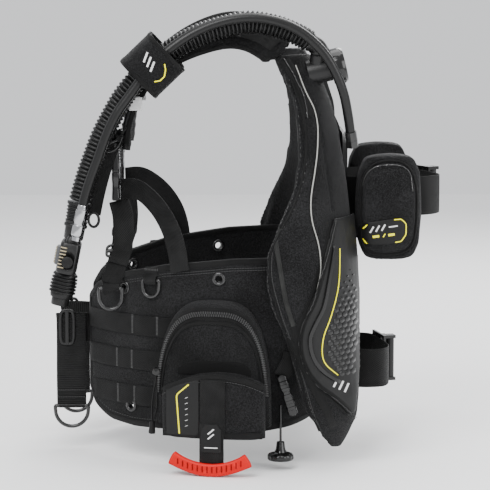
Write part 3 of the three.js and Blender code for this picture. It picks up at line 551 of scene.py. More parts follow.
def carry(name, path, half_side, half_up, side, power=2.0, around=24, ring=False):
    """
    A body along a path. Its section is |a/half_side|^power + |b/half_up|^power = 1, with a along
    side, made square to the path, and b square to both. Sizes and power may change on the way.
    """
    way = tangents(path, ring)
    side = np.broadcast_to(np.array(side, float), path.shape)
    side = unit(side - way * (side * way).sum(-1, keepdims=True))
    up = np.cross(way, side)
    a, b = squarish(full_turn(around), 2.0 / np.broadcast_to(power, len(path))[:, None])
    a = a * np.broadcast_to(half_side, len(path))[:, None]
    b = b * np.broadcast_to(half_up, len(path))[:, None]
    return skin(name, path[:, None] + side[:, None] * a[..., None] + up[:, None] * b[..., None], ring)


def turned(name, base, axis, profile, around=32, fluting=None):
    """A turned body: profile rows are radius and distance along axis from base."""
    rows = np.array(profile, float)
    axis = unit(np.array(axis, float))
    hint = np.array((0.0, 1.0, 0.0)) if abs(axis[1]) < 0.8 else np.array((1.0, 0.0, 0.0))
    side = unit(np.cross(axis, hint))
    up = np.cross(axis, side)
    angle = full_turn(around)
    radius = rows[:, :1] * (1 + (0 if fluting is None else fluting(rows, angle)))
    ring = np.cos(angle)[:, None] * side + np.sin(angle)[:, None] * up
    grid = np.array(base, float) + rows[:, 1, None, None] * axis + radius[..., None] * ring
    return skin(name, grid)


def webbing(name, path, width, thick, side, count=60):
    """A strap along a path: a flat section with round edges, its width along side."""
    return carry(name, smooth_path(path, count), width / 2, thick / 2, side, 6.0, 20)


# %% [markdown]
# ## Hoses
# The breathing hose is a rubber tube with a rib every few millimetres, which lets it bend without
# closing. Its radius rises and falls with the distance along it. The smooth hose beside it brings
# air at low pressure. Each has a fixed length, measured along the path that made it.

# %% Corrugated hose and low-pressure hose
HOSE_Y = -0.108
HOSE_ROUTE = [
    (x, HOSE_Y, z) for x,
    z in [
        (-0.052, 0.3073), (-0.061, 0.313), (-0.086, 0.324), (-0.111, 0.33), (-0.132, 0.331),
        (-0.16, 0.325), (-0.188, 0.316), (-0.215, 0.302), (-0.243, 0.282), (-0.265, 0.261),
        (-0.283, 0.239), (-0.3, 0.21), (-0.311, 0.188), (-0.32, 0.165), (-0.328, 0.143), (-0.335, 0.12),
        (-0.338, 0.109)
    ]
]
LEAD_ROUTE = [
    (
        -0.333, -0.1316, 0.107
    ), (-0.329, -0.1312, 0.122), (-0.323, -0.1304, 0.140), (-0.315, -0.1296, 0.161),
    (
        -0.308, -0.1294, 0.181
    ), (-0.299, -0.1294, 0.203), (-0.289, -0.1294, 0.222), (-0.276, -0.1294, 0.240),
    (
        -0.260, -0.1294, 0.262
    ), (-0.243, -0.1294, 0.283), (-0.215, -0.1294, 0.306), (-0.188, -0.1294, 0.322),
    (
        -0.157, -0.1294, 0.333
    ), (-0.127, -0.1294, 0.337), (-0.099, -0.1294, 0.334), (-0.073, -0.1294, 0.325),
    (
        -0.052, -0.1294, 0.311
    ), (-0.033, -0.1294, 0.291), (-0.019, -0.128, 0.267), (-0.010, -0.124, 0.243),
    (-0.004, -0.117, 0.215), (-0.001, -0.112, 0.196),
]
HOSE_RADIUS, RIB_PITCH, RIB_DEEP = 14.5, 5.2, 2.4
LEAD_RADIUS = 6.0


def run_length(path):
    return float(np.linalg.norm(np.diff(path, axis=0), axis=1).sum())


hose_line = smooth_path(np.array(HOSE_ROUTE) / MM, 900)
hose_length = run_length(hose_line)
rib_count = round(hose_length / RIB_PITCH)
along_hose = np.linspace(0, rib_count, len(hose_line))
rib = (0.5 - 0.5 * np.cos(2 * np.pi * along_hose)) ** 0.55
hose_radius = HOSE_RADIUS - RIB_DEEP * (1 - rib)
hose = carry("breathing_hose", hose_line, hose_radius, hose_radius, (0, 1, 0), 2.0, 32)
put(hose, RUBBER, REST, ["corrugated_hose"])
lead_line = smooth_path(np.array(LEAD_ROUTE) / MM, 260)
lead_length = run_length(lead_line)
lead = carry("low_pressure_hose", lead_line, LEAD_RADIUS, LEAD_RADIUS, (0, 1, 0), 2.0, 20)
put(lead, RUBBER, REST, ["lp_hose"])
print("hose length mm", round(hose_length), "ribs", rib_count, "lead", round(lead_length))
made("hoses")

# %% [markdown]
# ## The waist's curve
# Panels, pockets and webbing at the waist all follow one plan curve: a long ellipse in front and a
# short one behind. A place on them is three numbers: x, how far out from the curve, and the height.

# %% Waist curve
WAIST_X, WAIST_FRONT, WAIST_REAR, WAIST_HALF = -90.0, 250.0, 62.0, 172.0
STITCH = (2.4, 0.7, 0.6)


def on_waist(x, out, z):
    """Point at x on the ellipse, moved out along the ellipse's own normal, at height z."""
    x, out, z = np.broadcast_arrays(np.asarray(x, float), out, z)
    reach = np.where(x < WAIST_X, WAIST_FRONT, WAIST_REAR)
    s = np.clip((WAIST_X - x) / reach, -0.999, 0.999)
    c = np.sqrt(1 - s * s)
    normal = unit(np.stack([-s / reach, -c / WAIST_HALF, 0 * s], -1))
    return np.stack([x, -WAIST_HALF * c, z], -1) + normal * out[..., None]


def waist_out(x, z):
    """The way straight out of the waist at a place."""
    return unit(on_waist(x, 1.0, z) - on_waist(x, 0.0, z))


def waist(out):
    """A place function on the waist: takes x, z and a further distance out."""
    return lambda x, z, more: on_waist(x, out + more, z)


def surface_of(*pieces):
    """A place function on finished pieces: looks in from the side, along y, for their skin."""
    points, faces = [], []
    for piece in pieces:
        base = len(points)
        points += [Vector(v.co) / MM for v in piece.data.vertices]
        faces += [[base + k for k in p.vertices] for p in piece.data.polygons]
    tree = BVHTree.FromPolygons(points, faces)

    def place(x, z, more):
        x, z, more = np.broadcast_arrays(np.asarray(x, float), z, more)
        spots, ways = np.zeros(x.shape + (3,)), np.zeros(x.shape + (3,))
        for k in np.ndindex(x.shape):
            spot, way, _, _ = tree.ray_cast(Vector((x[k], -400, z[k])), Vector((0, 1, 0)))
            if spot is None:
                spot, way, _, _ = tree.find_nearest(Vector((x[k], -190, z[k])))
            spots[k] = spot
            ways[k] = way if way.y < 0 else -way
        if ways.ndim == 3:
            inner = ways[1:-1]
            for _ in range(3):
                inner += ways[:-2] + ways[2:]
                inner /= np.linalg.norm(inner, axis=-1, keepdims=True)
        return spots + unit(ways) * more[..., None]

    return place


def band_of(path, width, across=5):
    """A grid of x, z places: a strip of the given width along a path."""
    path = np.array(path, float)
    way = tangents(path)
    square = np.stack([way[:, 1], -way[:, 0]], -1)
    half = np.broadcast_to(width, len(path))[:, None, None] / 2
    return path[:, None] + square[:, None] * np.linspace(-1, 1, across)[:, None] * half


def patch(name, grid, place, thick, lift=0.0, sink=0.6):
    """A closed sheet over a grid of x, z places: its edges are rounded down to its back."""
    rows, columns = grid.shape[:2]
    u, v = np.meshgrid(np.linspace(-1, 1, rows), np.linspace(-1, 1, columns), indexing="ij")
    edge = np.clip(1.0 - np.maximum(np.abs(u) ** (rows * 1.5), np.abs(v) ** (columns * 1.2)), 0, 1)
    outer = place(grid[..., 0], grid[..., 1], lift + thick * (0.35 + 0.65 * edge))
    inner = place(grid[..., 0], grid[..., 1], np.array(-sink))
    return slab(name, evened(outer, 6), inner)


def boxes(name, centre, way, out, size, taper=0.75):
    """Many small blocks: size is length, width and height, and their tops are narrower."""
    way, out = (np.broadcast_to(np.array(v, float), centre.shape) for v in (way, out))
    side = unit(np.cross(way, out))
    corner = np.array(
        [[i, j, k] for k in (-1, 1) for i, j in ((-1, -1), (1, -1), (1, 1), (-1, 1))], float
    )
    corner[4:, :2] *= taper
    length, width, high = (np.array(size, float) / 2)
    points = (
        centre[:, None]
        + corner[:, :1] * length * way[:, None]
        + corner[:, 1:2] * width * side[:, None]
        + corner[:, 2:] * high * out[:, None]
    )
    face = np.array(
        [[0, 3, 2, 1], [4, 5, 6, 7], [0, 1, 5, 4], [1, 2, 6, 5], [2, 3, 7, 6], [3, 0, 4, 7]]
    )
    quads = (np.arange(len(centre))[:, None, None] * 8 + face).reshape(-1, 4)
    uv = np.zeros(quads.shape + (2,))
    return write_mesh(name, points.reshape(-1, 3), quads, uv)


def row_of(name, path, place, pitch, size, lift=0.3, cross=False):
    """Blocks an equal pitch apart on a path of x, z places: stitches, or teeth when cross is set."""
    path = np.array(path, float)
    spots = place(path[:, 0], path[:, 1], lift)
    count = max(3, int(run_length(spots) / pitch))
    path = smooth_path(path, count)
    spots = place(path[:, 0], path[:, 1], lift)
    out = unit(place(path[:, 0], path[:, 1], lift + 1.0) - spots)
    way = tangents(spots)
    way = np.cross(way, out) if cross else way
    return boxes(name, spots, unit(way), out, size)


def tape(name, path, width, place, thick, lift, sink, material=BINDING, across=7):
    """A flat strip sewn along a path of x, z places, on both sides of the vest."""
    return both(patch(name, band_of(path, width, across), place, thick, lift, sink), material)


def stitches(name, path, place, pitch, lift):
    """A seam of thread on both sides of the vest."""
    return both(row_of(name, path, place, pitch, STITCH, lift), THREAD)


def join(name, pieces):
    """One object of several new ones that share a finish."""
    with bpy.context.temp_override(active_object=pieces[0], selected_editable_objects=pieces):
        bpy.ops.object.join()
    pieces[0].name = pieces[0].data.name = name
    return pieces[0]


def line(*points, count=40):
    """A smooth path through a few x, z places."""
    return smooth_path(points, count)


print("place functions ready; a stitch is", STITCH, "mm")

# %% [markdown]
# ## Waist panels
# Each panel is foam between nylon and lining, bound all round with folded tape. The outline is a
# height at each x, with a rounded front corner, and the sheet is thick except at its edge. Coated
# eyelets let water out: holes are cut through the sheet, and a turned ring is set in each.

# %% Waist panel
PANEL_THICK, PANEL_FRONT, PANEL_REAR, CORNER = 6.0, -331.5, -42.5, 34.0
TOP_EDGE = np.array([(-335, -12), (-318, 4), (-304, 10), (-280, 20), (-232, 32), (-150, 42), (0, 48)])
LOW_EDGE = np.array([(-335, -140), (-322, -162), (-300, -170), (-271, -174), (-112, -171), (0, -150)])
EYELETS = [(-165, 18), (-275, -149), (-283, 0)]
EYELET_HOLE, EYELET_RADIUS, EYELET_WIRE = 4.4, 6.4, 2.2


def corner_drop(x):
    d = np.clip(x - PANEL_FRONT, 0, CORNER)
    return CORNER - np.sqrt(CORNER**2 - (CORNER - d) ** 2)


def panel_top(x):
    return np.interp(x, *TOP_EDGE.T) - 0.5 * corner_drop(x)


def panel_low(x):
    return np.interp(x, *LOW_EDGE.T) + 0.7 * corner_drop(x)


def waist_panel():
    angle = np.radians(np.linspace(75, -50, 190))
    x = WAIST_X - np.where(angle > 0, WAIST_FRONT, WAIST_REAR) * np.sin(angle)
    v = np.linspace(0, 1, 70)
    low, high = panel_low(x)[:, None], panel_top(x)[:, None]
    z = low + (high - low) * v
    x = np.broadcast_to(x[:, None], z.shape)
    wave = 0.5 * np.sin(x / 23 + z / 41) + 0.35 * np.sin(z / 17 - x / 31)
    edge = np.clip(np.minimum(np.minimum(z - low, high - z), x - PANEL_FRONT + 0.5) / 5, 0, 1)
    half = PANEL_THICK / 2 * np.sqrt(1 - (1 - edge) ** 2) + 0.1
    middle = -PANEL_THICK / 2 + wave * edge * 0.5
    panel = slab("waist_panel_cover_left", on_waist(x, middle + half, z), on_waist(x, middle - half, z))
    for ex, ez in EYELETS:
        through = on_waist(ex, np.linspace(-16, 16, 4), ez)
        cut_out(panel, carry("hole", through, EYELET_HOLE, EYELET_HOLE, (0, 0, 1), 2.0, 20))
    return panel


def bake(piece):
    """Applies every modifier to the mesh."""
    evaluated = piece.evaluated_get(bpy.context.evaluated_depsgraph_get())
    mesh = bpy.data.meshes.new_from_object(evaluated)
    piece.modifiers.clear()
    piece.data = mesh
    return piece


def cut_out(piece, tool):
    """Takes the tool's room out of a piece and removes the tool."""
    cutter = piece.modifiers.new("cut", "BOOLEAN")
    cutter.operation = "DIFFERENCE"
    cutter.object = tool
    cutter.solver = "EXACT"
    bake(piece)
    bpy.data.objects.remove(tool)


def ring_on(name, centre, out, radius, wire):
    """A rolled eyelet: a turned ring whose section is a half circle of the wire's radius."""
    bend = np.linspace(0, 2 * np.pi, 14)[:-1]
    profile = np.stack([radius + wire * np.cos(bend), wire * 0.8 * np.sin(bend)], -1)
    side = unit(np.cross(out, (0.0, 0.0, 1.0)))
    up = np.cross(out, side)
    angle = full_turn(32)
    around = np.cos(angle)[:, None] * side + np.sin(angle)[:, None] * up
    grid = centre + profile[:, None, :1] * around[None] + profile[:, None, 1:] * out
    return put(skin(name, grid.transpose(1, 0, 2), True), COATED_STEEL)


panel = put(waist_panel(), NYLON_FLAT, REST, ["waist_panel_left"])
swollen(panel)
edge_x = np.linspace(PANEL_REAR, PANEL_FRONT + 0.1, 90)
edge_in = 3.0
loop = np.concatenate([
    np.stack([edge_x, panel_top(edge_x) - edge_in], -1),
    np.stack([edge_x[::-1], panel_low(edge_x[::-1]) + edge_in], -1),
])
loop = smooth_path(loop, 420, True)
loop[:, 0] = np.maximum(loop[:, 0], PANEL_FRONT + edge_in)
edge_line = on_waist(loop[:, 0], -PANEL_THICK / 2, loop[:, 1])
edge_out = waist_out(loop[:, 0], loop[:, 1])
binding = carry("waist_panel_binding_left", edge_line, 4.0, 4.2, edge_out, 3.5, 16, True)
both(binding, BINDING)
for k, (ex, ez) in enumerate(EYELETS):
    out = waist_out(ex, ez)
    for face, off in (("outer", 0.5), ("inner", -PANEL_THICK - 0.5)):
        twin(
            ring_on(
                f"eyelet_{k + 1}_{face}_left", on_waist(ex, off, ez), out, EYELET_RADIUS, EYELET_WIRE
            )
        )
made("waist panels")

# %% [markdown]
# ## Webbing on the panel
# Three rows of webbing are tacked to the panel, and the strap lifts a little between the tacks so
# that gear can be laced under it. A double row of stitches runs under the top edge.

# %% Ladder webbing, seams and tacks
LADDER = [
    (-44.5, -327, -211, (-272, -241)), (-89.5, -327, -230, (-292, -273)),
    (-135, -322, -238, (-291, -270))
]
for k, (z, x0, x1, tacks) in enumerate(LADDER):
    x = np.linspace(x0, x1, 70)
    slope = -0.05 * (x - x0) * (k == 0)
    grid = band_of(np.stack([x, z + slope * 0.4], -1), 25, 9)
    gap = np.min([np.abs(x - t) for t in (*tacks, x0 + 8, x1 - 8)], 0)
    rise = 0.5 + 1.3 * (1 - np.exp(-gap / 7))
    row = patch(f"ladder_row_{k + 1}_left", grid, waist(0), 1.4, rise[:, None], -0.05)
    both(row, WEBBING)
    tack = [
        row_of("tack", [(t, z - 11), (t, z + 11)], waist(0), 1.5, (1.1, 3.4, 0.6), 2.1) for t in tacks
    ]
    both(join(f"ladder_tacks_{k + 1}_left", tack), THREAD)
seam_x = np.linspace(-322, -100, 60)
for k, drop in enumerate((10.5, 13.5)):
    seam = np.stack([seam_x, panel_top(seam_x) - drop], -1)
    stitches(f"panel_top_stitches_{k + 1}_left", seam, waist(0), 3.6, 0.5)
low_x = np.linspace(-318, -120, 60)
seam = np.stack([low_x, panel_low(low_x) + 9.5], -1)
stitches("panel_low_stitches_left", seam, waist(0), 3.6, 0.5)
made("ladder webbing")

# %% [markdown]
# ## Zipped pocket
# The pocket is a dome: its rim is an arch, and the surface is drawn from the rim to the middle of its
# base. It rises steeply at the rim, where the side wall is, and stays nearly flat after that. The zip
# follows the arch, so its teeth are blocks on a line a fixed share of the way in.

# %% Cargo pocket
POCKET_FRONT, POCKET_REAR, POCKET_TOP, POCKET_LOW, POCKET_DEEP = -238.0, -100.0, -8.0, -167.0, 22.0
POCKET_MIDDLE = (POCKET_FRONT + POCKET_REAR) / 2


def pocket_rim(s):
    """The arch from its front foot to its rear foot: straight legs and a rounded top."""
    turn = np.pi * np.asarray(s, float)
    x = POCKET_MIDDLE - (
        POCKET_REAR - POCKET_FRONT
    ) / 2 * np.sign(np.cos(turn)) * np.abs(np.cos(turn)) ** 0.62
    z = POCKET_LOW + (POCKET_TOP - POCKET_LOW) * np.sin(turn) ** 0.72
    return x, z


def pocket_place(s, t):
    """x, z of the pocket at a share s round the arch and t of the way in from it."""
    x, z = pocket_rim(s)
    core = POCKET_MIDDLE + 0.3 * (x - POCKET_MIDDLE)
    return x + (core - x) * t, z + (POCKET_LOW + 0.12 * (z - POCKET_LOW) - z) * t


def pocket_depth(t):
    wall = np.clip(t / 0.07, 0, 1)
    return POCKET_DEEP * (
        0.74 * np.sqrt(1 - (1 - wall) ** 2) + 0.24 * np.sin(np.pi / 2 * np.clip(t, 0, 1)) ** 0.7
    )


s, t = np.meshgrid(np.linspace(0.002, 0.998, 150), np.linspace(0, 1, 50) ** 1.3, indexing="ij")
x, z = pocket_place(s, t)
crease = 0.5 * np.sin(x / 9 + z / 21) * np.sin(z / 13) * np.clip(t * 4, 0, 1)
pocket = slab("pocket_shell_left", on_waist(x, 0.5 + pocket_depth(t) + crease, z), on_waist(x, 0.4, z))
put(pocket, NYLON_FLAT, REST, ["cargo_pocket_left"])
swollen(pocket)
ZIP_IN = 0.105
zip_s = np.linspace(0.06, 0.94, 220)


def on_pocket(s, t, more):
    x, z = pocket_place(s, t)
    return on_waist(x, 0.5 + pocket_depth(t) + more, z)


def pocket_strip(name, t0, t1, thick, lift, material):
    s, t = np.meshgrid(zip_s, np.linspace(t0, t1, 6), indexing="ij")
    top = thick * (1 - np.abs(np.linspace(-1, 1, 6)) ** 4)[None]
    return put(slab(name, on_pocket(s, t, lift + top), on_pocket(s, t, -0.5)), material)


twin(pocket_strip("pocket_zip_tape_left", ZIP_IN - 0.055, ZIP_IN + 0.055, 0.9, 0.2, BINDING))
twin(pocket_strip("pocket_hem_left", ZIP_IN + 0.06, ZIP_IN + 0.1, 1.3, 0.3, BINDING))
teeth = []
for k, shift in enumerate((-0.011, 0.011)):
    rail = on_pocket(zip_s, ZIP_IN + shift, 1.5)
    count = int(run_length(rail) / 2.9)
    rail = smooth_path(rail, count)
    if k:
        rail = (rail[1:] + rail[:-1]) / 2
    out = waist_out(rail[:, 0], rail[:, 2])
    teeth.append(boxes("teeth", rail, tangents(rail), out, (1.6, 3.4, 1.9)))
both(join("pocket_zip_teeth_left", teeth), ZIP_PLASTIC_HIGHLIT)
made("pockets")

# %% [markdown]
# ## Weight sleeve and pouch
# The sleeve is a real pocket, open below: one skin runs down its inside, round its hem and up its
# outside. The weight pouch fills it and pulls out by a red handle, so both show from underneath.

# %% Weight sleeve, pouch and handle
SLEEVE_FRONT, SLEEVE_REAR, SLEEVE_LOW, SLEEVE_DEEP, SLEEVE_WALL = -219.0, -107.0, -171.0, 26.0, 2.5
SLEEVE_BACK = 0.8 + POCKET_DEEP
ARCH_TOP, ARCH_DROP, ARCH_MIDDLE, ARCH_HALF = -94.0, 21.0, -158.0, 61.0


def sleeve_top(x):
    """The flap's arched top edge."""
    return ARCH_TOP - ARCH_DROP * np.abs((x - ARCH_MIDDLE) / ARCH_HALF) ** 2.2


def waist_loop(x0, x1, o0, o1, z, around=72, power=4.5):
    """A closed loop in plan between two x and two distances out, at heights z(x)."""
    cx, cy = squarish(full_turn(around), 2 / power)
    x = (x0 + x1) / 2 + (x1 - x0) / 2 * cx
    return on_waist(x, (o0 + o1) / 2 + (o1 - o0) / 2 * cy, z(x))


def sleeve_level(inset, v):
    puff = 1.0 * math.sin(math.pi * min(1.0, v)) if inset == 0 else 0.0
    return waist_loop(
        SLEEVE_FRONT + inset, SLEEVE_REAR - inset,
        SLEEVE_BACK + inset, SLEEVE_BACK + SLEEVE_DEEP - inset + puff,
        lambda x: SLEEVE_LOW + (sleeve_top(x) - inset - SLEEVE_LOW) * v,
    )


def shrunk(loop, share):
    return loop.mean(0) + (loop - loop.mean(0)) * share


inside = [shrunk(sleeve_level(SLEEVE_WALL, 1.0), 0.5)] + [
    sleeve_level(SLEEVE_WALL, v) for v in np.linspace(1, 0, 24)
]
outside = [sleeve_level(0.0, v) for v in np.linspace(0, 1, 40)]
crown = [
    shrunk(outside[-1], share) + (0, 0, rise) for share, rise in ((0.97, 0.8), (0.85, 1.4), (0.5, 1.7))
]
sleeve = skin("weight_sleeve_shell_left", np.array(inside + outside + crown))
both(sleeve, NYLON_FLAT, REST, ["weight_sleeve_left"])
fit = SLEEVE_WALL + 1.0
pouch_rows = [
    waist_loop(
        SLEEVE_FRONT + fit, SLEEVE_REAR - fit, SLEEVE_BACK + fit, SLEEVE_BACK + SLEEVE_DEEP - fit,
        lambda x, v=v: SLEEVE_LOW - 1 + (sleeve_top(x) - fit - SLEEVE_LOW + 1) * v,
    )
    for v in np.linspace(0, 1, 30)
]
pouch_rows = [shrunk(pouch_rows[0], 0.9) - (0, 0, 1.5)] + pouch_rows + [shrunk(pouch_rows[-1], 0.8)]
pouch = put(
    skin("weight_pouch_bag_left", np.array(pouch_rows)), NYLON_FLAT, "weight_left",
    ["weight_pouch_left"]
)
swollen(pouch)
FLAP = SLEEVE_BACK + SLEEVE_DEEP
panel_x = np.linspace(-212, -178, 24)[:, None]
share = np.linspace(0, 1, 24)
grid = np.stack([panel_x + 0 * share, -169 + (sleeve_top(panel_x) - 4 + 169) * share], -1)
both(patch("sleeve_rubber_panel_left", grid, waist(FLAP), 1.6, 0.6, 0.8), ARMOUR)


def bent(*points):
    """Straight runs between a few x, z places, as 60 places an equal distance apart."""
    p = np.array(points, float)
    run = np.concatenate([[0], np.cumsum(np.linalg.norm(np.diff(p, axis=0), axis=1))])
    at = np.linspace(0, run[-1], 60)
    return np.stack([np.interp(at, run, p[:, 0]), np.interp(at, run, p[:, 1])], -1)


border = bent((-188, -105.5), (-201, -119), (-198, -167))
tape("sleeve_yellow_line_left", border, 1.5, waist(FLAP), 0.7, 2.0, 0.5, YELLOW, across=4)
strap = np.linspace((-163, -169), (-163, -99), 40)
tape("sleeve_centre_web_left", strap, 26, waist(FLAP), 1.6, 1.6, 0.5, WEBBING)
hem = np.linspace((-216, -167.5), (-110, -167.5), 60)
tape("sleeve_hem_left", hem, 7, waist(FLAP), 0.9, 0.5, 0.6, across=5)
arch_x = np.linspace(-216, -110, 90)
arch = np.stack([arch_x, sleeve_top(arch_x) - 2.2], -1)
tape("sleeve_top_binding_left", arch, 6.5, waist(FLAP), 1.0, 0.2, 3.0, across=5)
stitches("sleeve_stitches_left", arch - (0, 4.6), waist(FLAP), 3.4, 0.9)

PULL_OUT = FLAP + 1.0
HANDLE_X, HANDLE_Z, HANDLE_REACH, HANDLE_SAG = -165.0, -196.0, 41.0, 14.0
tongue = band_of(np.linspace((-164, -203), (-164, -152), 40), 25.4, 7)
both(patch("pull_tab_left", tongue, waist(PULL_OUT + 1.0), 3.0, 0.0, 1.0), WEBBING, "weight_left")
label = np.array(
    [(-174.5, -188), (-174.5, -160), (-170, -153.5), (-158, -153.5), (-153.5, -160), (-153.5, -188)]
)


def outline_grid(outline):
    """A grid that fills a convex outline: its rows are the outline drawn in towards its middle."""
    rings, count = 8, 72
    rim = np.concatenate([np.linspace(a, b, 24)[:-1] for a, b in zip(outline, np.roll(outline, -1, 0))])
    rim = rim[np.linspace(0, len(rim) - 1, count).round().astype(int)]
    middle = outline.mean(0)
    return middle + (rim - middle)[None] * np.linspace(0.02, 1, rings)[:, None, None]


def plate(name, outline, place, thick, lift=0.3):
    """A flat label of any convex outline, laid on a place function."""
    grid = outline_grid(np.array(outline, float))
    flat = np.minimum(1.0, (1 - np.linspace(0, 1, len(grid))) * 14)[:, None]
    outer = place(grid[..., 0], grid[..., 1], lift + thick * (0.5 + 0.5 * flat))
    inner = place(grid[..., 0], grid[..., 1], np.array(lift - 0.5))
    return skin(name, np.concatenate([outer, inner[::-1]]))


def ticks(name, marks, place, lift, material, body=REST):
    """Short printed bars: each is x, z, length, width and slant in degrees."""
    bars = []
    for x, z, length, width, slant in marks:
        way = np.array([math.cos(math.radians(slant)), math.sin(math.radians(slant))]) * length / 2
        ends = np.array([(x, z) - way, (x, z) + way])
        bars.append(patch("bar", band_of(np.linspace(*ends, 8), width, 3), place, 0.4, lift, 0.2))
    return put(join(name, bars), material, body)


flap_marks = [(-190.5, z, 6.5, 1.7, 25) for z in (-122, -129, -136, -143, -150, -157)]
twin(ticks("sleeve_mark_left", flap_marks, waist(FLAP), 1.9, PALE))
both(plate("pull_tab_label_left", label, waist(PULL_OUT + 4), 1.0), SOFT_RUBBER, "weight_left")
tab_marks = [(-164, -162, 9, 1.6, 45), (-164, -168, 9, 1.6, 45), (-164, -182, 14, 1.2, 0)]
twin(ticks("pull_tab_mark_left", tab_marks, waist(PULL_OUT + 5.2), 0.1, PALE, "weight_left"))
t = np.linspace(-1, 1, 260)
grip_x = HANDLE_X + HANDLE_REACH * t
grip_z = HANDLE_Z + HANDLE_SAG * (t * t - 1)
grip_line = on_waist(grip_x, PULL_OUT - 1 + 5.0, grip_z)
flare = 1 + 0.16 * np.abs(t) ** 6
tip = np.sqrt(np.clip(1 - np.clip((np.abs(t) - 0.965) / 0.035, 0, 1) ** 2, 0.02, 1))
grip = carry(
    "rip_handle_grip_left", grip_line, 7.8 * flare * tip, 4.2 * flare * tip, (0, 0, 1), 3.2, 28
)
both(grip, RED, "weight_left", ["rip_handle_left"])
rib_t = np.linspace(-0.8, 0.8, 14)
rib_x, rib_z = HANDLE_X + HANDLE_REACH * rib_t, HANDLE_Z + HANDLE_SAG * (rib_t * rib_t - 1) + 1.0
rib_at = on_waist(rib_x, PULL_OUT + 8.2, rib_z)
rib_out = unit(on_waist(rib_x, PULL_OUT + 9.2, rib_z) - rib_at)
# Fourteen dark red blocks along the grip: painted shade of the grooves between its ribs.
ribs = boxes("rip_handle_ribs_left", rib_at, (0, 0, 1), rib_out, (8.5, 1.5, 1.6))
both(ribs, RED_GROOVE_SHADE, "weight_left")
made("weight sleeves")

# %% [markdown]
# ## Padded pieces
# A coated nylon pad swells until its seams stop it. Each starts as a merged copy of its plain part,
# is rebuilt with even faces, drawn in a little, and blown up as cloth with a small pressure. How far
# a point may move is capped, because the seams of the real pad hold it.

# %% Soft copies and sewing
CLOTH_PRESSURE, CLOTH_STEPS = 4.0, 20


def coordinates(mesh, what="vertices", field="co"):
    flat = np.empty(len(getattr(mesh, what)) * 3)
    getattr(mesh, what).foreach_get(field, flat)
    return flat.reshape(-1, 3)


def move_points(piece, points):
    piece.data.vertices.foreach_set("co", points.ravel())
    piece.data.update()


def soft_copy(name, node, voxel, inset, cap, smoothing=6, fine=1, blown=True):
    """A padded piece in the room of its plain part: voxel, inset and cap are in mm."""
    mesh = bpy.data.objects[node].data.copy()
    mesh.name = name
    mesh.materials.clear()
    grid = bmesh.new()
    grid.from_mesh(mesh)
    bmesh.ops.remove_doubles(grid, verts=grid.verts, dist=1e-5)
    bmesh.ops.recalc_face_normals(grid, faces=grid.faces)
    grid.to_mesh(mesh)
    grid.free()
    piece = add_object(name, mesh)
    even = piece.modifiers.new("even", "REMESH")
    even.mode = "VOXEL"
    even.voxel_size = voxel * MM
    soften = piece.modifiers.new("soften", "SMOOTH")
    soften.iterations = smoothing
    bake(piece)
    first = coordinates(piece.data) - coordinates(piece.data, "vertices", "normal") * inset * MM
    move_points(piece, first)
    if blown:
        cloth = piece.modifiers.new("cloth", "CLOTH")
        cloth.settings.use_pressure = True
        cloth.settings.uniform_pressure_force = CLOTH_PRESSURE
        cloth.settings.effector_weights.gravity = 0.0
        cloth.settings.quality = 4
        for step in range(1, CLOTH_STEPS + 1):
            bpy.context.scene.frame_set(step)
        bake(piece)
        bpy.context.scene.frame_set(1)
    moved = coordinates(piece.data) - first
    far = np.linalg.norm(moved, axis=1, keepdims=True)
    move_points(piece, first + moved * np.minimum(1.0, cap * MM / np.maximum(far, 1e-9)))
    finer = piece.modifiers.new("finer", "SUBSURF")
    finer.levels = finer.render_levels = fine
    bake(piece)
    piece.data.shade_smooth()
    print(name, len(piece.data.polygons), "faces, moved", round(float(far.mean()) / MM, 1), "mm")
    return piece


def sew(piece, seams, deep, wide, pucker=0.35):
    """
    Presses seams into a pad: depth is deep * exp(-(d / wide)^2) at distance d from the seam, and a
    small sine along the seam beside it gives the puckers.
    """
    points, normals = coordinates(piece.data) / MM, coordinates(piece.data, "vertices", "normal")
    for seam in seams:
        rail = smooth_path(seam, max(60, int(run_length(np.array(seam)) / 2.0)))
        run = np.concatenate([[0], np.cumsum(np.linalg.norm(np.diff(rail, axis=0), axis=1))])
        near = np.where((points > rail.min(0) - 12).all(1) & (points < rail.max(0) + 12).all(1))[0]
        gap = np.linalg.norm(points[near, None] - rail[None], axis=2)
        nearest, d = gap.argmin(1), gap.min(1)
        sink = deep * np.exp(-((d / wide) ** 2))
        sink = sink + pucker * np.sin(run[nearest] * 1.1) * np.exp(-(((d - wide * 1.7) / wide) ** 2))
        points[near] -= normals[near] * sink[:, None]
    move_points(piece, points * MM)


def crumple(piece, high, seed):
    """Low folds of high mm: three sines in different directions, multiplied in pairs."""
    points, normals = coordinates(piece.data) / MM, coordinates(piece.data, "vertices", "normal")
    ways = unit(np.random.default_rng(seed).normal(size=(5, 3)))
    a, b, c, d, e = (points @ ways.T / (9.0, 15.0, 23.0, 31.0, 12.0)).T
    fold = np.sin(a + 1.5 * np.sin(c)) * np.sin(d) + 0.8 * np.sin(b + np.sin(e)) * np.sin(c)
    move_points(piece, (points + normals * (high * fold / 1.8)[:, None]) * MM)


def on(place, path, lift=0.0):
    """A path of x, z places as points on a surface."""
    path = np.array(path, float)
    return place(path[:, 0], path[:, 1], lift)


def piping(name, place, path, radius, material, lift=0.2):
    """A thin round cord sewn on a surface along a path of x, z places."""
    rail = on(place, line(*path, count=120), lift)
    rail = evened(rail, 16)
    return put(carry(name, rail, radius, radius, (0, 1, 0.01), 2.0, 10), material)


# %% [markdown]
# ## Air cell
# The lobe that wraps round each side holds the air. A seam follows its front edge, pale piping and a
# zip run down from the shoulder, and a rubber guard is bonded over the back. The guard is thin, so it
# is rebuilt from its plain part with finer faces, without any swelling.

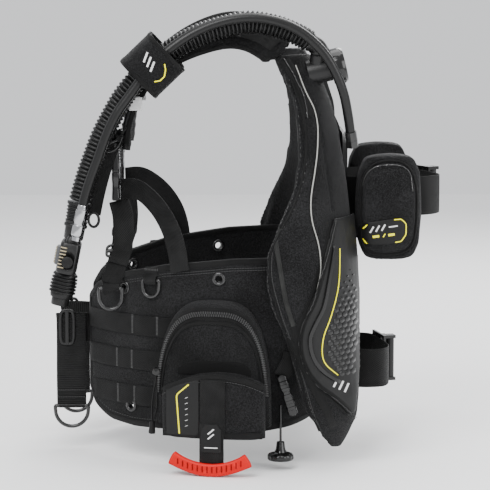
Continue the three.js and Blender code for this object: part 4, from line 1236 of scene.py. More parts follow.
# %% Wing, its seams and trim
EDGE_SEAM = [
    (-88, 266), (-73, 206), (-73, 176), (-90, 99), (-100, 81), (-105, 51), (-105, 22), (-93, -24),
    (-81, -57), (-66, -104), (-53, -148), (-43, -172)
]
PIPING = [
    (-69, 277), (-56, 244), (-45, 220), (-43, 190), (-44, 170), (-48, 145), (-53, 115), (-52, 92),
    (-44, 64), (-41, 32), (-46, 8)
]
ZIPPER = [(-82, 284), (-70, 263), (-59, 237), (-55, 215)]
INNER_SEAM = [(-34, 268), (-14, 236), (-4, 196), (0, 150), (4, 112)]
wing = soft_copy("wing_cover_left", "wing_left", 5.0, 2.5, 3.5)
place = surface_of(wing)
sew(wing, [on(place, line(*path)) for path in (EDGE_SEAM, INNER_SEAM)], 2.2, 2.6)
sew(wing, [on(place, line(*path)) for path in (PIPING, ZIPPER)], 1.4, 4.0)
crumple(wing, 0.45, 3)
put(wing, NYLON, REST, ["wing_left"])
swollen(wing)
on_wing = surface_of(wing)
twin(piping("wing_piping_left", on_wing, PIPING, 0.9, REFLECT, 1.3))
twin(piping("wing_edge_cord_left", on_wing, [(x + 2.5, z) for x, z in EDGE_SEAM], 1.2, BINDING, 0.5))
tape_path = line(*ZIPPER, count=60)
tape("wing_zip_tape_left", tape_path, 13, on_wing, 1.0, 0.6, 1.2)
both(row_of("wing_zip_teeth_left", tape_path, on_wing, 1.6, (0.9, 3.8, 1.3), 2.1, True), ZIP_PLASTIC_HIGHLIT)
for k, shift in enumerate((-5.0, 5.0)):
    seam = [(x + shift, z) for x, z in EDGE_SEAM]
    stitched = row_of(f"wing_stitches_{k + 1}_left", line(*seam, count=80), on_wing, 3.4, STITCH, 0.3)
    both(stitched, THREAD)
made("air cell")

# %% [markdown]
# ## Rubber guard
# The guard has a raised gloss ridge, a printed yellow line and a field of small hexagons that fades
# out towards the top. Each hexagon is a short six-sided block on the guard's surface.

# %% Armour, ridge and hexagons
armour = soft_copy("wing_guard_left", "armour_left", 2.4, 0.0, 1.0, 4, 0, False)
armour.data.shade_smooth()
both(armour, ARMOUR, REST, ["armour_left"])
on_guard = surface_of(armour, wing)
GUARD_EDGE = [
    (-25, 90), (-33, 59), (-42, 28), (-52, -5), (-66, -35), (-69, -62), (-60, -92), (-46, -111),
    (-20, -132), (4, -159)
]
RIDGE_LINE = [
    (-24, 62), (-30, 26), (-38, -14), (-48, -34), (-54, -51), (-50, -74), (-38, -92), (-16, -108)
]
YELLOW_LINE = [(-17, 57), (-17, 43), (-19, 9), (-28, -25), (-38, -53), (-37, -80), (-19, -99)]
edge_path = line(*GUARD_EDGE, count=130)
tape("guard_edge_tape_left", edge_path + (1, 0), 10, on_guard, 1.3, 0.2, 1.0)
stitches("guard_stitches_left", edge_path + (2.5, 0), on_guard, 3.2, 1.5)
ridge_wide = np.linspace(3, 11, 110) * np.linspace(1, 0.5, 110)
tape(
    "guard_ridge_left", line(*RIDGE_LINE, count=110), ridge_wide, on_guard, 2.4, 0.1, 1.0, RIDGE,
    across=9
)
twin(piping("guard_yellow_line_left", on_guard, YELLOW_LINE, 0.75, YELLOW, 0.4))


def inside(points, outline):
    """Which points are inside an outline: an odd number of its sides lies to their right."""
    x, y = points[..., 0], points[..., 1]
    a, b = np.array(outline, float), np.roll(np.array(outline, float), -1, 0)
    cross = (a[:, 1, None] > y) != (b[:, 1, None] > y)
    slope = (b[:, 0] - a[:, 0])[:, None] * (y - a[:, 1, None]) / (b[:, 1] - a[:, 1] + 1e-9)[:, None]
    return (cross & (x < a[:, 0, None] + slope)).sum(0) % 2 == 1


def hexagons(name, outline, pitch, place, high, fade):
    """Six-sided blocks in rows, each row shifted by half a pitch; they shrink where fade says."""
    low, top = np.min(outline, 0), np.max(outline, 0)
    i, j = np.meshgrid(np.arange(-2, 40), np.arange(-2, 60), indexing="ij")
    centre = np.stack(
        [low[0] + (i + 0.5 * (j % 2)) * pitch, low[1] + j * pitch * 0.866], -1
    ).reshape(-1, 2)
    centre = centre[inside(centre, outline)]
    size = pitch * 0.5 * np.clip(fade(centre), 0.2, 1.0)
    angle = full_turn(6) + np.pi / 6
    rim = np.stack([np.cos(angle), np.sin(angle)], -1)
    grids = []
    for share, lift in ((1.0, -0.5), (1.0, high * 0.6), (0.8, high)):
        spot = centre[:, None] + rim[None] * size[:, None, None] * share
        grids.append(place(spot[..., 0], spot[..., 1], np.array(lift)))
    points = np.stack(grids, 1)
    side = [
        [
            a * 6 + k, a * 6 + (k + 1) % 6, a * 6 + 6 + (k + 1) % 6, a * 6 + 6 + k
        ] for a in (0, 1) for k in range(6)
    ]
    caps = [[3, 2, 1, 0], [5, 4, 3, 0], [12, 13, 14, 15], [12, 15, 16, 17]]
    quads = (np.arange(len(centre))[:, None, None] * 18 + np.array(side + caps)).reshape(-1, 4)
    return write_mesh(name, points.reshape(-1, 3), quads, np.zeros(quads.shape + (2,)))


FIELD = [
    (-30, -44), (-23, -20), (-14, 10), (-2, 30), (6, 10), (6, -60), (2, -104), (-14, -98), (-28, -86),
    (-33, -64)
]
cells = hexagons("guard_hexagons_left", FIELD, 7.6, on_guard, 0.9, lambda c: 1 - (c[:, 1] + 30) / 75)
both(cells, RIDGE)
twin(
    ticks(
        "guard_mark_left",
        [(-22, -108, 11, 2.2, 62), (-15, -112, 11, 2.2, 62), (-8, -116, 11, 2.2, 62)], on_guard, 0.9,
        PALE
    )
)
GREY_EDGE = [(-97, 87), (-96, 70), (-91, 38), (-86, 8), (-82, -11), (-74, -36)]
tape("wing_grey_binding_left", line(*GREY_EDGE, count=70), 5.5, on_wing, 1.0, 0.3, 1.0, GREY_TAPE)
side_web = line((-87, -60), (-76, -64), (-66, -69), count=20)
tape("wing_side_web_left", side_web, 19, on_wing, 1.6, 0.5, 1.0, WEBBING)
LOWER_EDGE = [(-74, -36), (-64, -72), (-50, -110), (-34, -140), (-24, -166)]
tape("wing_lower_tape_left", line(*LOWER_EDGE, count=70), 10, on_wing, 1.1, 0.3, 1.0)
made("rubber guards")

# %% [markdown]
# ## Yoke and back pad
# Both touch the wearer, so they are faced with open lining. Sewn channels stop the foam from moving.

# %% Yoke and back pad
yoke = soft_copy("wing_yoke_cover", "wing_yoke", 4.0, 0.5, 4.0, 2)
crumple(yoke, 0.4, 5)
put(yoke, LINING, REST, ["wing_yoke"])
swollen(yoke, False)
back_cushion = soft_copy("back_pad_cushion", "back_pad", 4.5, 2.0, 5.0)


def front_rail(y0, z0, y1, z1):
    """A straight seam on the cushion's front, found by looking back at it along x."""
    hits = []
    for share in np.linspace(0, 1, 50):
        y, z = y0 + (y1 - y0) * share, z0 + (z1 - z0) * share
        hit = back_cushion.ray_cast(Vector((-0.2, y * MM, z * MM)), Vector((1, 0, 0)))
        if hit[0]:
            hits.append(np.array(hit[1]) / MM)
    return hits


rails = [front_rail(-62, z, 62, z) for z in (-110, -50, 10, 70, 130)] + [front_rail(0, -150, 0, 195)]
sew(back_cushion, rails, 4.0, 4.0)
put(back_cushion, LINING, REST, ["back_pad"])
swollen(back_cushion, False)
made("yoke and back pad")

# %% [markdown]
# ## Trim pouches
# A small zipped pouch sits on each side of the upper cylinder band. Its bound seam is a raised cord
# a little way in from the edge, and its rubber label has a plain mark.

# %% Trim pouches
trim = soft_copy("trim_pouch_shell_left", "trim_pouch_left", 3.5, 2.5, 5.0, 5)
crumple(trim, 0.5, 9)
place = surface_of(trim)
RIM = [
    (15, 132), (21, 146), (34, 156), (62, 157), (74, 149), (82, 128), (81, 64), (75, 49), (62, 42),
    (30, 41), (19, 48), (15, 66)
]
ring_path = smooth_path(RIM, 160, True)
sew(trim, [on(place, np.concatenate([ring_path, ring_path[:2]]))], 2.0, 3.2)
put(trim, NYLON, REST, ["trim_pouch_left"])
swollen(trim)
on_trim = surface_of(trim)
rail = evened(on(on_trim, ring_path, 0.6), 4, True)
both(carry("trim_pouch_binding_left", rail, 1.9, 1.5, (0, 1, 0.01), 2.6, 12, True), BINDING)
zip_line = line((14, 120), (20, 141), (33, 151), (62, 152), (73, 144), (77, 122), count=70)
both(row_of("trim_pouch_teeth_left", zip_line, on_trim, 2.2, (1.2, 3.6, 1.3), 0.8, True), ZIP_PLASTIC_HIGHLIT)
LABEL = [(11, 60), (11, 74), (16, 81), (62, 88), (70, 82), (70, 66), (64, 57), (17, 52)]
both(plate("trim_pouch_label_left", LABEL, on_trim, 1.4, 0.3), SOFT_RUBBER)
marks = [(27, 73, 9, 2.0, 62), (34, 74.5, 9, 2.0, 62), (41, 76, 9, 2.0, 62), (53, 77.5, 11, 1.6, 8)]
twin(ticks("trim_pouch_mark_left", marks, on_trim, 1.9, PALE))
twin(
    ticks(
        "trim_pouch_bars_left", [(32, 64.5, 8, 3.0, 8), (42, 66, 5, 1.4, 60), (51, 67, 8, 3.0, 8)],
        on_trim, 1.9, YELLOW
    )
)
brackets = [
    bent((54, 86), (63, 86.6), (69, 80.5), (69, 67), (63.4, 58.6), (56, 57.4)),
    bent((17, 74), (21.5, 79)), bent((17, 61), (21.5, 55))
]
lines = [patch("bracket", band_of(path, 1.2, 4), on_trim, 0.5, 1.9, 0.2) for path in brackets]
both(join("trim_pouch_brackets_left", lines), YELLOW)
made("trim pouches")

# %% [markdown]
# ## Shoulder straps
# Each strap is a long padded strip with a crowned section. A webbing strip is sewn down its middle,
# a tape binds both edges, and the strip twists as it comes down to the chest.

# %% Shoulder straps
SHOULDER = [
    (-88, -91, 290), (-102, -88, 304), (-126, -84, 316), (-155, -81, 318), (-203, -80, 302),
    (-240, -75, 277), (-262, -73, 247), (-276, -72, 212), (-281, -73, 170)
]
strap_line = smooth_path(SHOULDER, 150)
u = np.linspace(0, 1, 150)
lean = (1.6 + (0.5 - 1.6) * np.minimum(1, u * 1.4)) * np.where(u < 0.75, 1, 1 - (u - 0.75) * 2.4)
strap_side = np.stack([0 * u, 1 + 0 * u, lean], -1)
strap_half = 24.5 * (1 - 0.22 * u) * np.sqrt(np.clip(np.minimum(u, 1 - u) * 40, 0.15, 1))
quilt = 0.35 * np.sin(u * 150) + 0.25 * np.sin(u * 61 + 1)
strap = carry("shoulder_strap_pad_left", strap_line, strap_half, 5.6 + quilt, strap_side, 2.9, 40)
put(strap, NYLON_FLAT, REST, ["shoulder_strap_left"])
swollen(strap)
way = tangents(strap_line)
strap_side = unit(strap_side - way * (strap_side * way).sum(-1, keepdims=True))
strap_up = np.cross(way, strap_side)
strap_up *= np.sign(strap_up[:, 2:]) + (strap_up[:, 2:] == 0)
for k, sign in enumerate((-1, 1)):
    edge = strap_line + strap_side * (strap_half * 0.985 * sign)[:, None]
    both(
        carry(f"strap_edge_tape_{k + 1}_left", edge[2:-2], 2.4, 3.6, strap_side[2:-2], 3.0, 14), BINDING
    )
over = strap_line + strap_up * (5.9 + quilt)[:, None]
both(carry("strap_web_left", over[6:-4], 12.5, 1.1, strap_side[6:-4], 6.0, 16), WEBBING)
for k, at in enumerate((30, 62, 95, 128)):
    spots = over[at] + strap_side[at] * np.linspace(-11, 11, 9)[:, None] + strap_up[at] * 1.2
    tack = boxes(f"strap_tack_{k + 1}_left", spots, way[at], strap_up[at], (4.0, 1.3, 0.8))
    both(tack, THREAD)


tab = np.array([(-276, 221), (-276, 238), (-260, 238), (-260, 221)], float)
both(
    plate(
        "strap_size_label_left", tab, lambda x, z,
        more: np.stack(np.broadcast_arrays(x, -95.5 - more, z), -1), 1.0
    ),
    PALE, slot="webbing"
)
yoke_link = [
    (-52, -80, 262), (-44, -57, 264), (-37, -30, 265), (-36, 0, 265), (-37, 30, 265), (-44, 57, 264),
    (-52, 80, 262)
]
put(webbing("yoke_cross_web", yoke_link, 25, 2.0, (0, 0, 1), 80), WEBBING)
for name, y in (("left", -30), ("right", 30)):
    riser = [(-8, y, 172), (-11, y, 196), (-19, y, 214), (-30, y, 240), (-39, y, 266)]
    put(webbing(f"yoke_riser_{name}", riser, 25, 2.0, (0, 1, 0), 60), WEBBING)
made("shoulder straps")

# %% [markdown]
# ## Hose wrap
# A sleeve of nylon with a hook-and-loop flap holds both hoses to the strap. Its loop is a rounded
# rectangle in plan across the strap, and the flap is a second layer that ends in a sewn edge.

# %% Hose wrap
WRAP_AT, WRAP_WAY = np.array((-246.0, -94.0, 278.0)), unit(np.array((-0.72, 0.0, -0.69)))
WRAP_ACROSS = np.array((0.0, 1.0, 0.0))
WRAP_UP = np.cross(WRAP_WAY, WRAP_ACROSS)
WRAP_WIDE, WRAP_TALL = 44.8, 28.8


def wrap_loop(grow, start_turn=0.0, end_turn=1.0, count=120):
    """A rounded rectangle across the hoses: half sizes WRAP_WIDE and WRAP_TALL, made larger by grow."""
    a, b = squarish(np.linspace(start_turn, end_turn, count) * 2 * np.pi, 0.4)
    a, b = (WRAP_WIDE + grow) * a, (WRAP_TALL + grow) * b
    return WRAP_AT + a[:, None] * WRAP_ACROSS + b[:, None] * WRAP_UP


closed = smooth_path(wrap_loop(0.0)[:-1], 140, True)
sleeve_band = carry("hose_wrap_band_left", closed, 25.5, 1.2, WRAP_WAY, 6.0, 20, True)
put(sleeve_band, NYLON_FLAT, REST, ["hose_wrap"])
flap = smooth_path(wrap_loop(2.3, 0.30, 0.93), 90)
put(carry("hose_wrap_flap", flap, 24.0, 0.8, WRAP_WAY, 6.0, 18), NYLON_FLAT)
for k, sign in enumerate((-1, 1)):
    edge = smooth_path(wrap_loop(2.6, 0.30, 0.93), 90) + WRAP_WAY * 23.0 * sign
    put(carry(f"hose_wrap_hem_{k + 1}", edge, 2.6, 1.0, WRAP_WAY, 4.0, 12), BINDING)


def on_wrap(x, z, more):
    """x is a share round the loop's near face and z a distance along the sleeve, in mm."""
    x, z, more = np.broadcast_arrays(np.asarray(x, float), z, more)
    a = -(47.4 + more)
    return WRAP_AT + a[..., None] * WRAP_ACROSS + x[..., None] * WRAP_UP + z[..., None] * WRAP_WAY


bracket = patch(
    "hose_wrap_bracket", band_of(bent((8, -13), (14, -9), (19, -2), (19, 5), (15, 11)), 1.5, 4),
    on_wrap, 0.5, 0.6, 0.3
)
put(bracket, YELLOW)
ticks(
    "hose_wrap_mark", [(-14, -2, 13, 2.4, 65), (-7, -1, 13, 2.4, 65), (0, 0, 13, 2.4, 65)], on_wrap,
    0.6, PALE
)
made("hose wrap")

# %% [markdown]
# ## Webbing that hangs free
# Polyester webbing keeps its width and bends only one way, so each strap is a thin flat section
# carried along its own path, with the width's direction turning where the strap twists.

# %% Front, rear and belt webbing
FRONT_WEB = [
    (-291, -73, 105.5), (-286, -82, 85), (-287, -98, 50), (-296, -111.7, 18), (-300, -115.7, 5.6)
]
REAR_WEB = [
    (-287.3, -74, 121), (-268, -82, 121), (-244, -104, 104), (-226, -128, 78), (-217, -147, 52),
    (-213, -154.2, 26)
]
u = np.linspace(0, 1, 80)[:, None]
front_web = webbing("front_strap_web_left", FRONT_WEB, 25, 2.0, (1, 0, 0.1), 80)
both(front_web, WEBBING, REST, ["front_strap_left"])
rear_side = np.concatenate([0.92 * u, -0.38 * u, 1 - u], 1)
rear_web = webbing("rear_strap_web_left", REAR_WEB, 25, 2.0, rear_side, 80)
both(rear_web, WEBBING, REST, ["rear_strap_left"])
tail = [(-289, -77, 104), (-284, -86.5, 85), (-285, -102.5, 50), (-291, -110, 30)]
both(webbing("front_strap_tail_left", tail, 24, 1.8, (1, 0, 0.1), 60), WEBBING)


def keeper(name, centre, way, across, out, wide, tall=9.0, thick=3.4):
    """A moulded strap keeper: a flat rounded frame with a middle bar, round a strap."""
    way, across, out = (unit(np.array(v, float)) for v in (way, across, out))
    half, reach = wide / 2 + 3.0, tall / 2 + 3.0
    a, b = squarish(full_turn(48), 0.45)
    loop = np.array(centre, float) + half * a[:, None] * across + reach * b[:, None] * way
    frame_ring = carry("ring", loop, 2.0, thick / 2, out, 3.0, 12, True)
    bar_ends = np.array(centre, float) + np.linspace(-half, half, 6)[:, None] * across + out * 1.0
    bar = carry("bar", bar_ends, 2.4, 1.5, way, 3.0, 12)
    return put(join(name, [frame_ring, bar]), MATTE)


twin(
    keeper(
        "front_strap_keeper_left", (-290, -100.5, 46), (-0.1, -0.35, -1), (1, 0, 0.1), (0, -1, 0.35), 25
    )
)
belt_x = np.linspace(-330.5, -372, 30)
belt_sag = -1.2 * np.sin((belt_x + 330) / 42 * np.pi)
belt_run = np.stack([belt_x, -47.0 + 0.5 * np.sin(belt_x / 6), -61 + belt_sag], -1)
belt = carry("belt_run_left", belt_run, 18.8, 1.0, (0, 0, 1), 6.0, 20)
both(belt, BELT_WEB, REST, ["belt_strap_left"])
drop = [(-354, -49.4, -43), (-353.8, -50.2, -80), (-354.2, -49.6, -120), (-354, -49, -163)]
both(webbing("belt_drop_left", drop, 37.6, 2.0, (1, 0, 0), 70), BELT_WEB)
bend = np.linspace(np.pi, 0, 24)
fold = np.stack([np.full(24, -354.0), -49 + 2.6 * np.cos(bend), -161.5 - 3.0 * np.sin(bend)], -1)
both(carry("belt_fold_left", fold, 17.0, 0.9, (1, 0, 0), 6.0, 18), BELT_WEB)
twin(keeper("belt_keeper_left", (-359, -51.2, -60), (1, 0, 0), (0, 0, 1), (0, -1, 0), 37.0, 11.0, 4.0))
hem = np.linspace((-370, -51, -151), (-338, -51, -151), 12)
for k, up in enumerate((0, 9)):
    row = boxes(f"belt_tack_{k + 1}_left", hem + (0, 0, up), (1, 0, 0), (0, -1, 0), (2.2, 0.9, 0.8))
    both(row, THREAD)

keeper_path = [(-283, -88, 193), (-295, -89, 178), (-306, -89, 150), (-315, -89, 118), (-321, -89, 90)]
put(webbing("hose_keeper_web", keeper_path, 16, 1.8, (1, 0, 0.3), 70), WEBBING)
turn = full_turn(40)
eye = np.stack([-322 + 6.5 * np.cos(turn), np.full(40, -89.0), 83 + 9 * np.sin(turn)], -1)
put(carry("hose_keeper_eye", eye, 1.8, 1.8, (0, 1, 0), 2.0, 12, True), MATTE)
wire_path = smooth_path(
    [
        (-312, -94, 173), (-303, -95, 169), (-292, -95, 174), (-285, -93, 190), (-291, -93, 184),
        (-302, -94, 179)
    ],
    80, True
)
both(carry("shoulder_ring_wire_left", wire_path, 1.4, 1.4, (0, 1, 0), 2.0, 12, True), COATED_STEEL)
ring_tab = [(-279, -86, 200), (-283, -92, 194), (-287, -95, 189), (-285, -91, 184), (-281, -86, 182)]
both(webbing("shoulder_ring_tab_left", ring_tab, 12, 1.6, (0.5, 0, 0.86), 40), WEBBING)
made("free webbing")

# %% [markdown]
# ## D-rings
# A ring is bent from round wire: a half circle below and a straight bar above, with tight corners.
# The wire's centre line is one closed path, and the wire is carried round it.

# %% D-rings and their tabs
WIRE = 2.4


def d_ring(name, at, along, half, deep, body, node):
    """Half circle of radius half under a straight bar, in the upright plane that holds along."""
    along = unit(np.array(along, float))
    angle = np.linspace(0, np.pi, 40)
    a = np.concatenate([half * np.cos(angle), np.linspace(-half, half, 12)])
    b = np.concatenate([-(deep - half) - half * np.sin(angle), np.zeros(12)])
    loop = evened(smooth_path(np.stack([a, b], -1), 150, True), 5, True)
    rail = np.array(at, float) + loop[:, :1] * along + loop[:, 1:] * np.array((0, 0, 1.0))
    wire = carry(name, rail, WIRE, WIRE, np.cross(along, (0, 0, 1.0)), 2.0, 12, True)
    return put(wire, COATED_STEEL, body, [node])


twin(
    d_ring(
        "chest_ring_wire_left", (-300, -117, -0.5), (1, 0, 0), 14, 26, "chest_ring_left",
        "chest_ring_left"
    )
)
PANEL_RING_PLACE, PANEL_RING_ALONG = (-248, 13), (0.87, -0.49, 0)
ring_at = on_waist(PANEL_RING_PLACE[0], 2.85, PANEL_RING_PLACE[1])
twin(
    d_ring(
        "panel_ring_wire_left", ring_at, PANEL_RING_ALONG, 11.5, 21, "panel_ring_left",
        "panel_ring_left"
    )
)
twin(
    d_ring(
        "belt_ring_wire_left", (-354, -49, -162.8), (1, 0, 0), 21, 27, "belt_ring_left",
        "belt_ring_left"
    )
)
chest_tab = [
    (-300, -113.6, 16), (-300, -114.4, 6), (-300, -119.2, 3.4), (-300, -121.6, -0.5),
    (-300, -119.6, -3.6), (-299, -118.5, -4.6)
]
both(webbing("chest_ring_tab_left", chest_tab, 21, 1.5, (1, 0, 0), 40), WEBBING)
out = waist_out(*PANEL_RING_PLACE)
panel_tab = [
    ring_at + out * d + (0, 0, h) for d,
    h in ((-1.6, 16), (-1.4, 8), (2.2, 3.9), (4.2, 0), (2.0, -3.6), (-0.4, -5.2))
]
both(webbing("panel_ring_tab_left", panel_tab, 17, 1.4, PANEL_RING_ALONG, 40), WEBBING)
both(
    row_of("panel_ring_tack_left", [(-255.5, 26), (-240.5, 26)], waist(0), 1.8, (1.1, 3.2, 0.8), 1.6),
    THREAD
)
made("D-rings")

# %% [markdown]
# ## Side-release buckles
# The socket is a flat shell, open above; one skin runs down its inside and up its outside. The plug
# has a head with a bar for the webbing and a tongue that fits the socket.

# %% Buckles
BUCKLE_X, BUCKLE_Y = -294.0, -73.0


def flat_rows(x, y, levels, around=56):
    """Rounded rectangles stacked in z: each level is z, half thickness, half width and power."""
    rows = []
    for z, half_x, half_y, power in levels:
        a, b = squarish(full_turn(around), 2 / power)
        rows.append(np.stack([x + half_x * a, y + half_y * b, np.full(around, float(z))], -1))
    return np.array(rows)


inner = flat_rows(BUCKLE_X, BUCKLE_Y, [(126.5, 1.2, 8, 2), (126, 2.5, 14, 4), (143.0, 2.5, 14, 5)])
shell = flat_rows(
    BUCKLE_X, BUCKLE_Y,
    [
        (142.8, 5.0, 16.6, 5), (141, 5.5, 17, 5), (134, 5.5, 17, 5), (128, 5.2, 15.4, 4),
        (120, 5.2, 15.2, 4), (113, 5.4, 17, 5), (108, 5.4, 17, 5), (107, 4.6, 16, 4), (107, 2.0, 8, 3)
    ]
)
socket = skin("buckle_socket_shell_left", np.concatenate([inner, shell]))
both(socket, GLOSSY, REST, ["buckle_socket_left"])
plug_rows = flat_rows(
    BUCKLE_X, BUCKLE_Y,
    [
        (127.2, 0.6, 10, 3), (128, 1.4, 12.6, 4), (143.3, 1.4, 12.8, 5), (143.5, 5.2, 16.6, 5),
        (148, 5.5, 17, 5), (152, 5.5, 15.6, 5), (166, 4.8, 15.8, 5), (172, 4.2, 17, 5),
        (179, 3.8, 17, 5), (180, 2.6, 16, 4), (180, 1.0, 8, 3)
    ]
)
plug = skin("buckle_plug_body_left", plug_rows)
both(plug, GLOSSY, "buckle_plug_left", ["buckle_plug_left"])
for k, x in enumerate((-299.3, -288.7)):
    ribs = np.linspace((x, BUCKLE_Y, 155), (x, BUCKLE_Y, 169), 5)
    facing = (math.copysign(1.0, x - BUCKLE_X), 0, 0)
    grip = boxes(f"buckle_ribs_{k + 1}_left", ribs, (0, 0, 1), facing, (1.4, 22, 1.6))
    both(grip, MATTE, "buckle_plug_left")
made("buckles")

# %% [markdown]
# ## Elbow and cap
# A moulded elbow turns the hose out of the air cell: a short round base, a bent neck with two clamp
# rings, and a cap with very shallow flutes over the dump valve.

# %% Elbow, cap and hose fittings
SEAT, MOUTH = np.array((-58.0, -97.0, 266.0)), np.array((-25.0, -97.0, 274.0))
CAP_WAY = unit(MOUTH - SEAT)
start_at, next_at = np.array(HOSE_ROUTE[0]) / MM, np.array(HOSE_ROUTE[1]) / MM
NECK_WAY = unit(next_at - start_at)
base = turned(
    "base", SEAT + CAP_WAY * 4, CAP_WAY,
    [(0.1, 0), (13, 0), (15.4, 1), (15.8, 9), (15.8, 26), (16, 28), (16, 29.6), (0.1, 29.8)], 40
)
neck_path = [
    (SEAT + MOUTH) / 2, (SEAT + MOUTH) / 2 + (0, -3, 10), start_at - NECK_WAY * 13,
    start_at - NECK_WAY * 0.5
]
neck_line = smooth_path(neck_path, 50)
swell = 10.4 + 2.6 * np.exp(
    -((np.linspace(0, 1, 50) - 0.62) / 0.05) ** 2
) + 1.6 * np.exp(-((np.linspace(0, 1, 50) - 0.97) / 0.05) ** 2)
neck_tube = carry("neck", neck_line, swell, swell, (0, 1, 0), 2.0, 32)
put(join("hose_elbow_body", [base, neck_tube]), MATTE, REST, ["hose_elbow"])


def fluted(count, deep, low, high):
    """Shallow flutes round a turned body, only between two heights."""

    def wave(rows, angle):
        where = ((rows[:, 1] > low) & (rows[:, 1] < high))[:, None]
        return -deep * where * (0.5 + 0.5 * np.cos(count * angle)[None]) ** 3

    return wave


cap_profile = [
    (0.1, 0.6), (20, 0.6), (22.4, 2), (22.8, 4), (22.8, 9), (22.8, 14), (21.8, 16), (20.2, 18.4),
    (17, 18.8), (14, 17.2), (6, 16.6), (0.1, 16.6)
]
cap = turned("elbow_cap_fluted", MOUTH, CAP_WAY, cap_profile, 96, fluted(24, 0.02, 6, 13))
put(cap, GLOSSY, REST, ["elbow_cap"])
CUFF_LOW = np.array((-347.0, -108.0, 60.4))
cuff_start = np.array(HOSE_ROUTE[-1]) / MM
cuff_way = unit(CUFF_LOW - cuff_start)
cuff_long = float(np.linalg.norm(CUFF_LOW - cuff_start))
cuff_rows = [(8, 1.7), (15.2, 1.7), (15.4, 3)]
for at in np.arange(5, 26, 4.2):
    cuff_rows += [
        (15.3 - at * 0.05, at), (13.9 - at * 0.05, at + 0.8), (13.9 - at * 0.05, at + 2.4),
        (15.3 - at * 0.05, at + 3.2)
    ]
cuff_rows += [
    (13.6, 28), (12.6, 34), (12.2, cuff_long - 2), (11, cuff_long - 0.4), (8, cuff_long - 0.4)
]
cuff = put(turned("hose_cuff_ribbed", cuff_start, cuff_way, cuff_rows, 40), RUBBER, REST, ["hose_cuff"])
tie_rows = [(11.5, 0), (14.2, 0.2), (14.6, 1), (14.6, 3), (14.2, 3.8), (11.5, 4)]
put(turned("hose_cuff_tie", cuff_start + cuff_way * 29, cuff_way, tie_rows, 40), MATTE)
COUPLING_LOW = np.array((-342.5, -132.0, 61.5))
coupling_top = np.array(LEAD_ROUTE[0]) / MM
coupling_way = unit(COUPLING_LOW - coupling_top)
coupling_long = float(np.linalg.norm(COUPLING_LOW - coupling_top))
coupling_rows = [
    (4, 0.8), (5.6, 0.8), (6.2, 3), (6.2, 6), (7.2, 6.6), (7.4, 10), (7.4, 22), (6.4, 23), (6.2, 26),
    (7.3, 27), (7.5, 30), (7.5, 38), (6.8, 40), (5.6, 41), (5.6, coupling_long - 0.5),
    (4, coupling_long - 0.5)
]
coupling = turned(
    "quick_release_coupling", coupling_top, coupling_way, coupling_rows, 60, fluted(30, 0.05, 9, 22.5)
)
coupling = put(coupling, CHROME, REST, ["quick_disconnect"])
made("hose fittings")

# %% [markdown]
# ## Inflator
# The case is a rounded block tilted with the hose. A striped grip covers the lower button, a round
# button comes out at the side, and the mouthpiece below is a ribbed rubber bellows.

# %% Inflator and mouthpiece
INFLATOR_AT, TILT = np.array((-352.0, -108.0, 40.0)), math.radians(11.6)
UP = np.array((math.sin(TILT), 0.0, math.cos(TILT)))
AHEAD = np.array((math.cos(TILT), 0.0, -math.sin(TILT)))


def from_case(points):
    """Places given about the inflator's own axes, as x, y, z: turned by its tilt and moved."""
    p = np.array(points, float)
    return INFLATOR_AT + p[..., :1] * AHEAD + p[..., 1:2] * np.array((0, 1.0, 0)) + p[..., 2:] * UP


levels = [
    (-20, 9, 19, 4), (-19.4, 11.5, 22.6, 5), (-17, 12.8, 23.8, 5), (17, 12.8, 23.8, 5),
    (19.2, 11.6, 22.6, 5), (19.9, 9, 19, 4)
]
case = skin("inflator_case", from_case(flat_rows(0, -8, levels, 72)))
bore = carry(
    "bore", from_case(np.linspace((0, -23.4, -4), (0, -40, -4), 4)), 8.2, 8.2, (1, 0, 0), 2.0, 32
)
room = carry(
    "room", from_case(np.linspace((-10, -8, -12.8), (-10, -8, 12.8), 4)), 9.4, 9.8, (1, 0, 0), 9.0, 32
)
cut_out(case, bore)
cut_out(case, room)
put(case, MATTE, REST, ["inflator_body"])
button_rows = [(0.1, 0), (6.6, 0), (7.3, 0.6), (7.4, 2), (7.4, 8), (6.4, 8.8), (0.1, 8.8)]
button = turned("inflate_button_round", from_case((0, -36, -4.0)), (0, 1, 0), button_rows, 40)
put(button, SOFT_RUBBER, "inflate_button", ["inflate_button"], slot="matte_plastic")
lever_rows = flat_rows(
    -11.2, -8, [(-11.8, 4.6, 7.4, 4), (-11, 5.4, 8.6, 5), (11, 5.4, 8.6, 5), (11.8, 4.6, 7.4, 4)], 40
)
put(skin("deflate_button_block", from_case(lever_rows)), SLATE, "deflate_button", ["deflate_button"])
stripes = from_case(np.linspace((-16.9, -8, -9), (-16.9, -8, 9), 6))
put(boxes("deflate_button_stripes", stripes, UP, -AHEAD, (1.8, 15, 1.6)), TAN, "deflate_button")
side_stripes = from_case(np.linspace((-7.2, -32.1, -12), (-7.2, -32.1, 13), 7))
put(boxes("inflator_side_stripes", side_stripes, UP, (0, -1, 0), (1.6, 8, 1.0)), TAN)
mouth_rows = [(9, -20.4), (13, -20.6), (14, -22)]
for k in range(6):
    top = -23.5 - k * 4.3
    wide = 14.8 + 1.9 * math.sin(min(1.0, (k + 1) / 4) * math.pi / 2)
    mouth_rows += [
        (wide, top), (wide + 0.2, top - 1.6), (wide - 2.2, top - 2.4), (wide - 2.2, top - 3.6)
    ]
mouth_rows += [
    (14.6, -50), (13.6, -53.4), (11.4, -54.2), (11.4, -62.4), (10.6, -63.4), (8, -63.4), (7.8, -60),
    (7.8, -40), (0.2, -40)
]
mouth = turned("mouthpiece_bellows", INFLATOR_AT, UP, mouth_rows, 48)
put(mouth, RUBBER, REST, ["mouthpiece"])
hood_rows = flat_rows(
    2, -12, [(19.8, 9, 12, 4), (24, 8.6, 11.4, 4), (27, 7.4, 10, 3), (28, 4, 6, 2)], 40
)
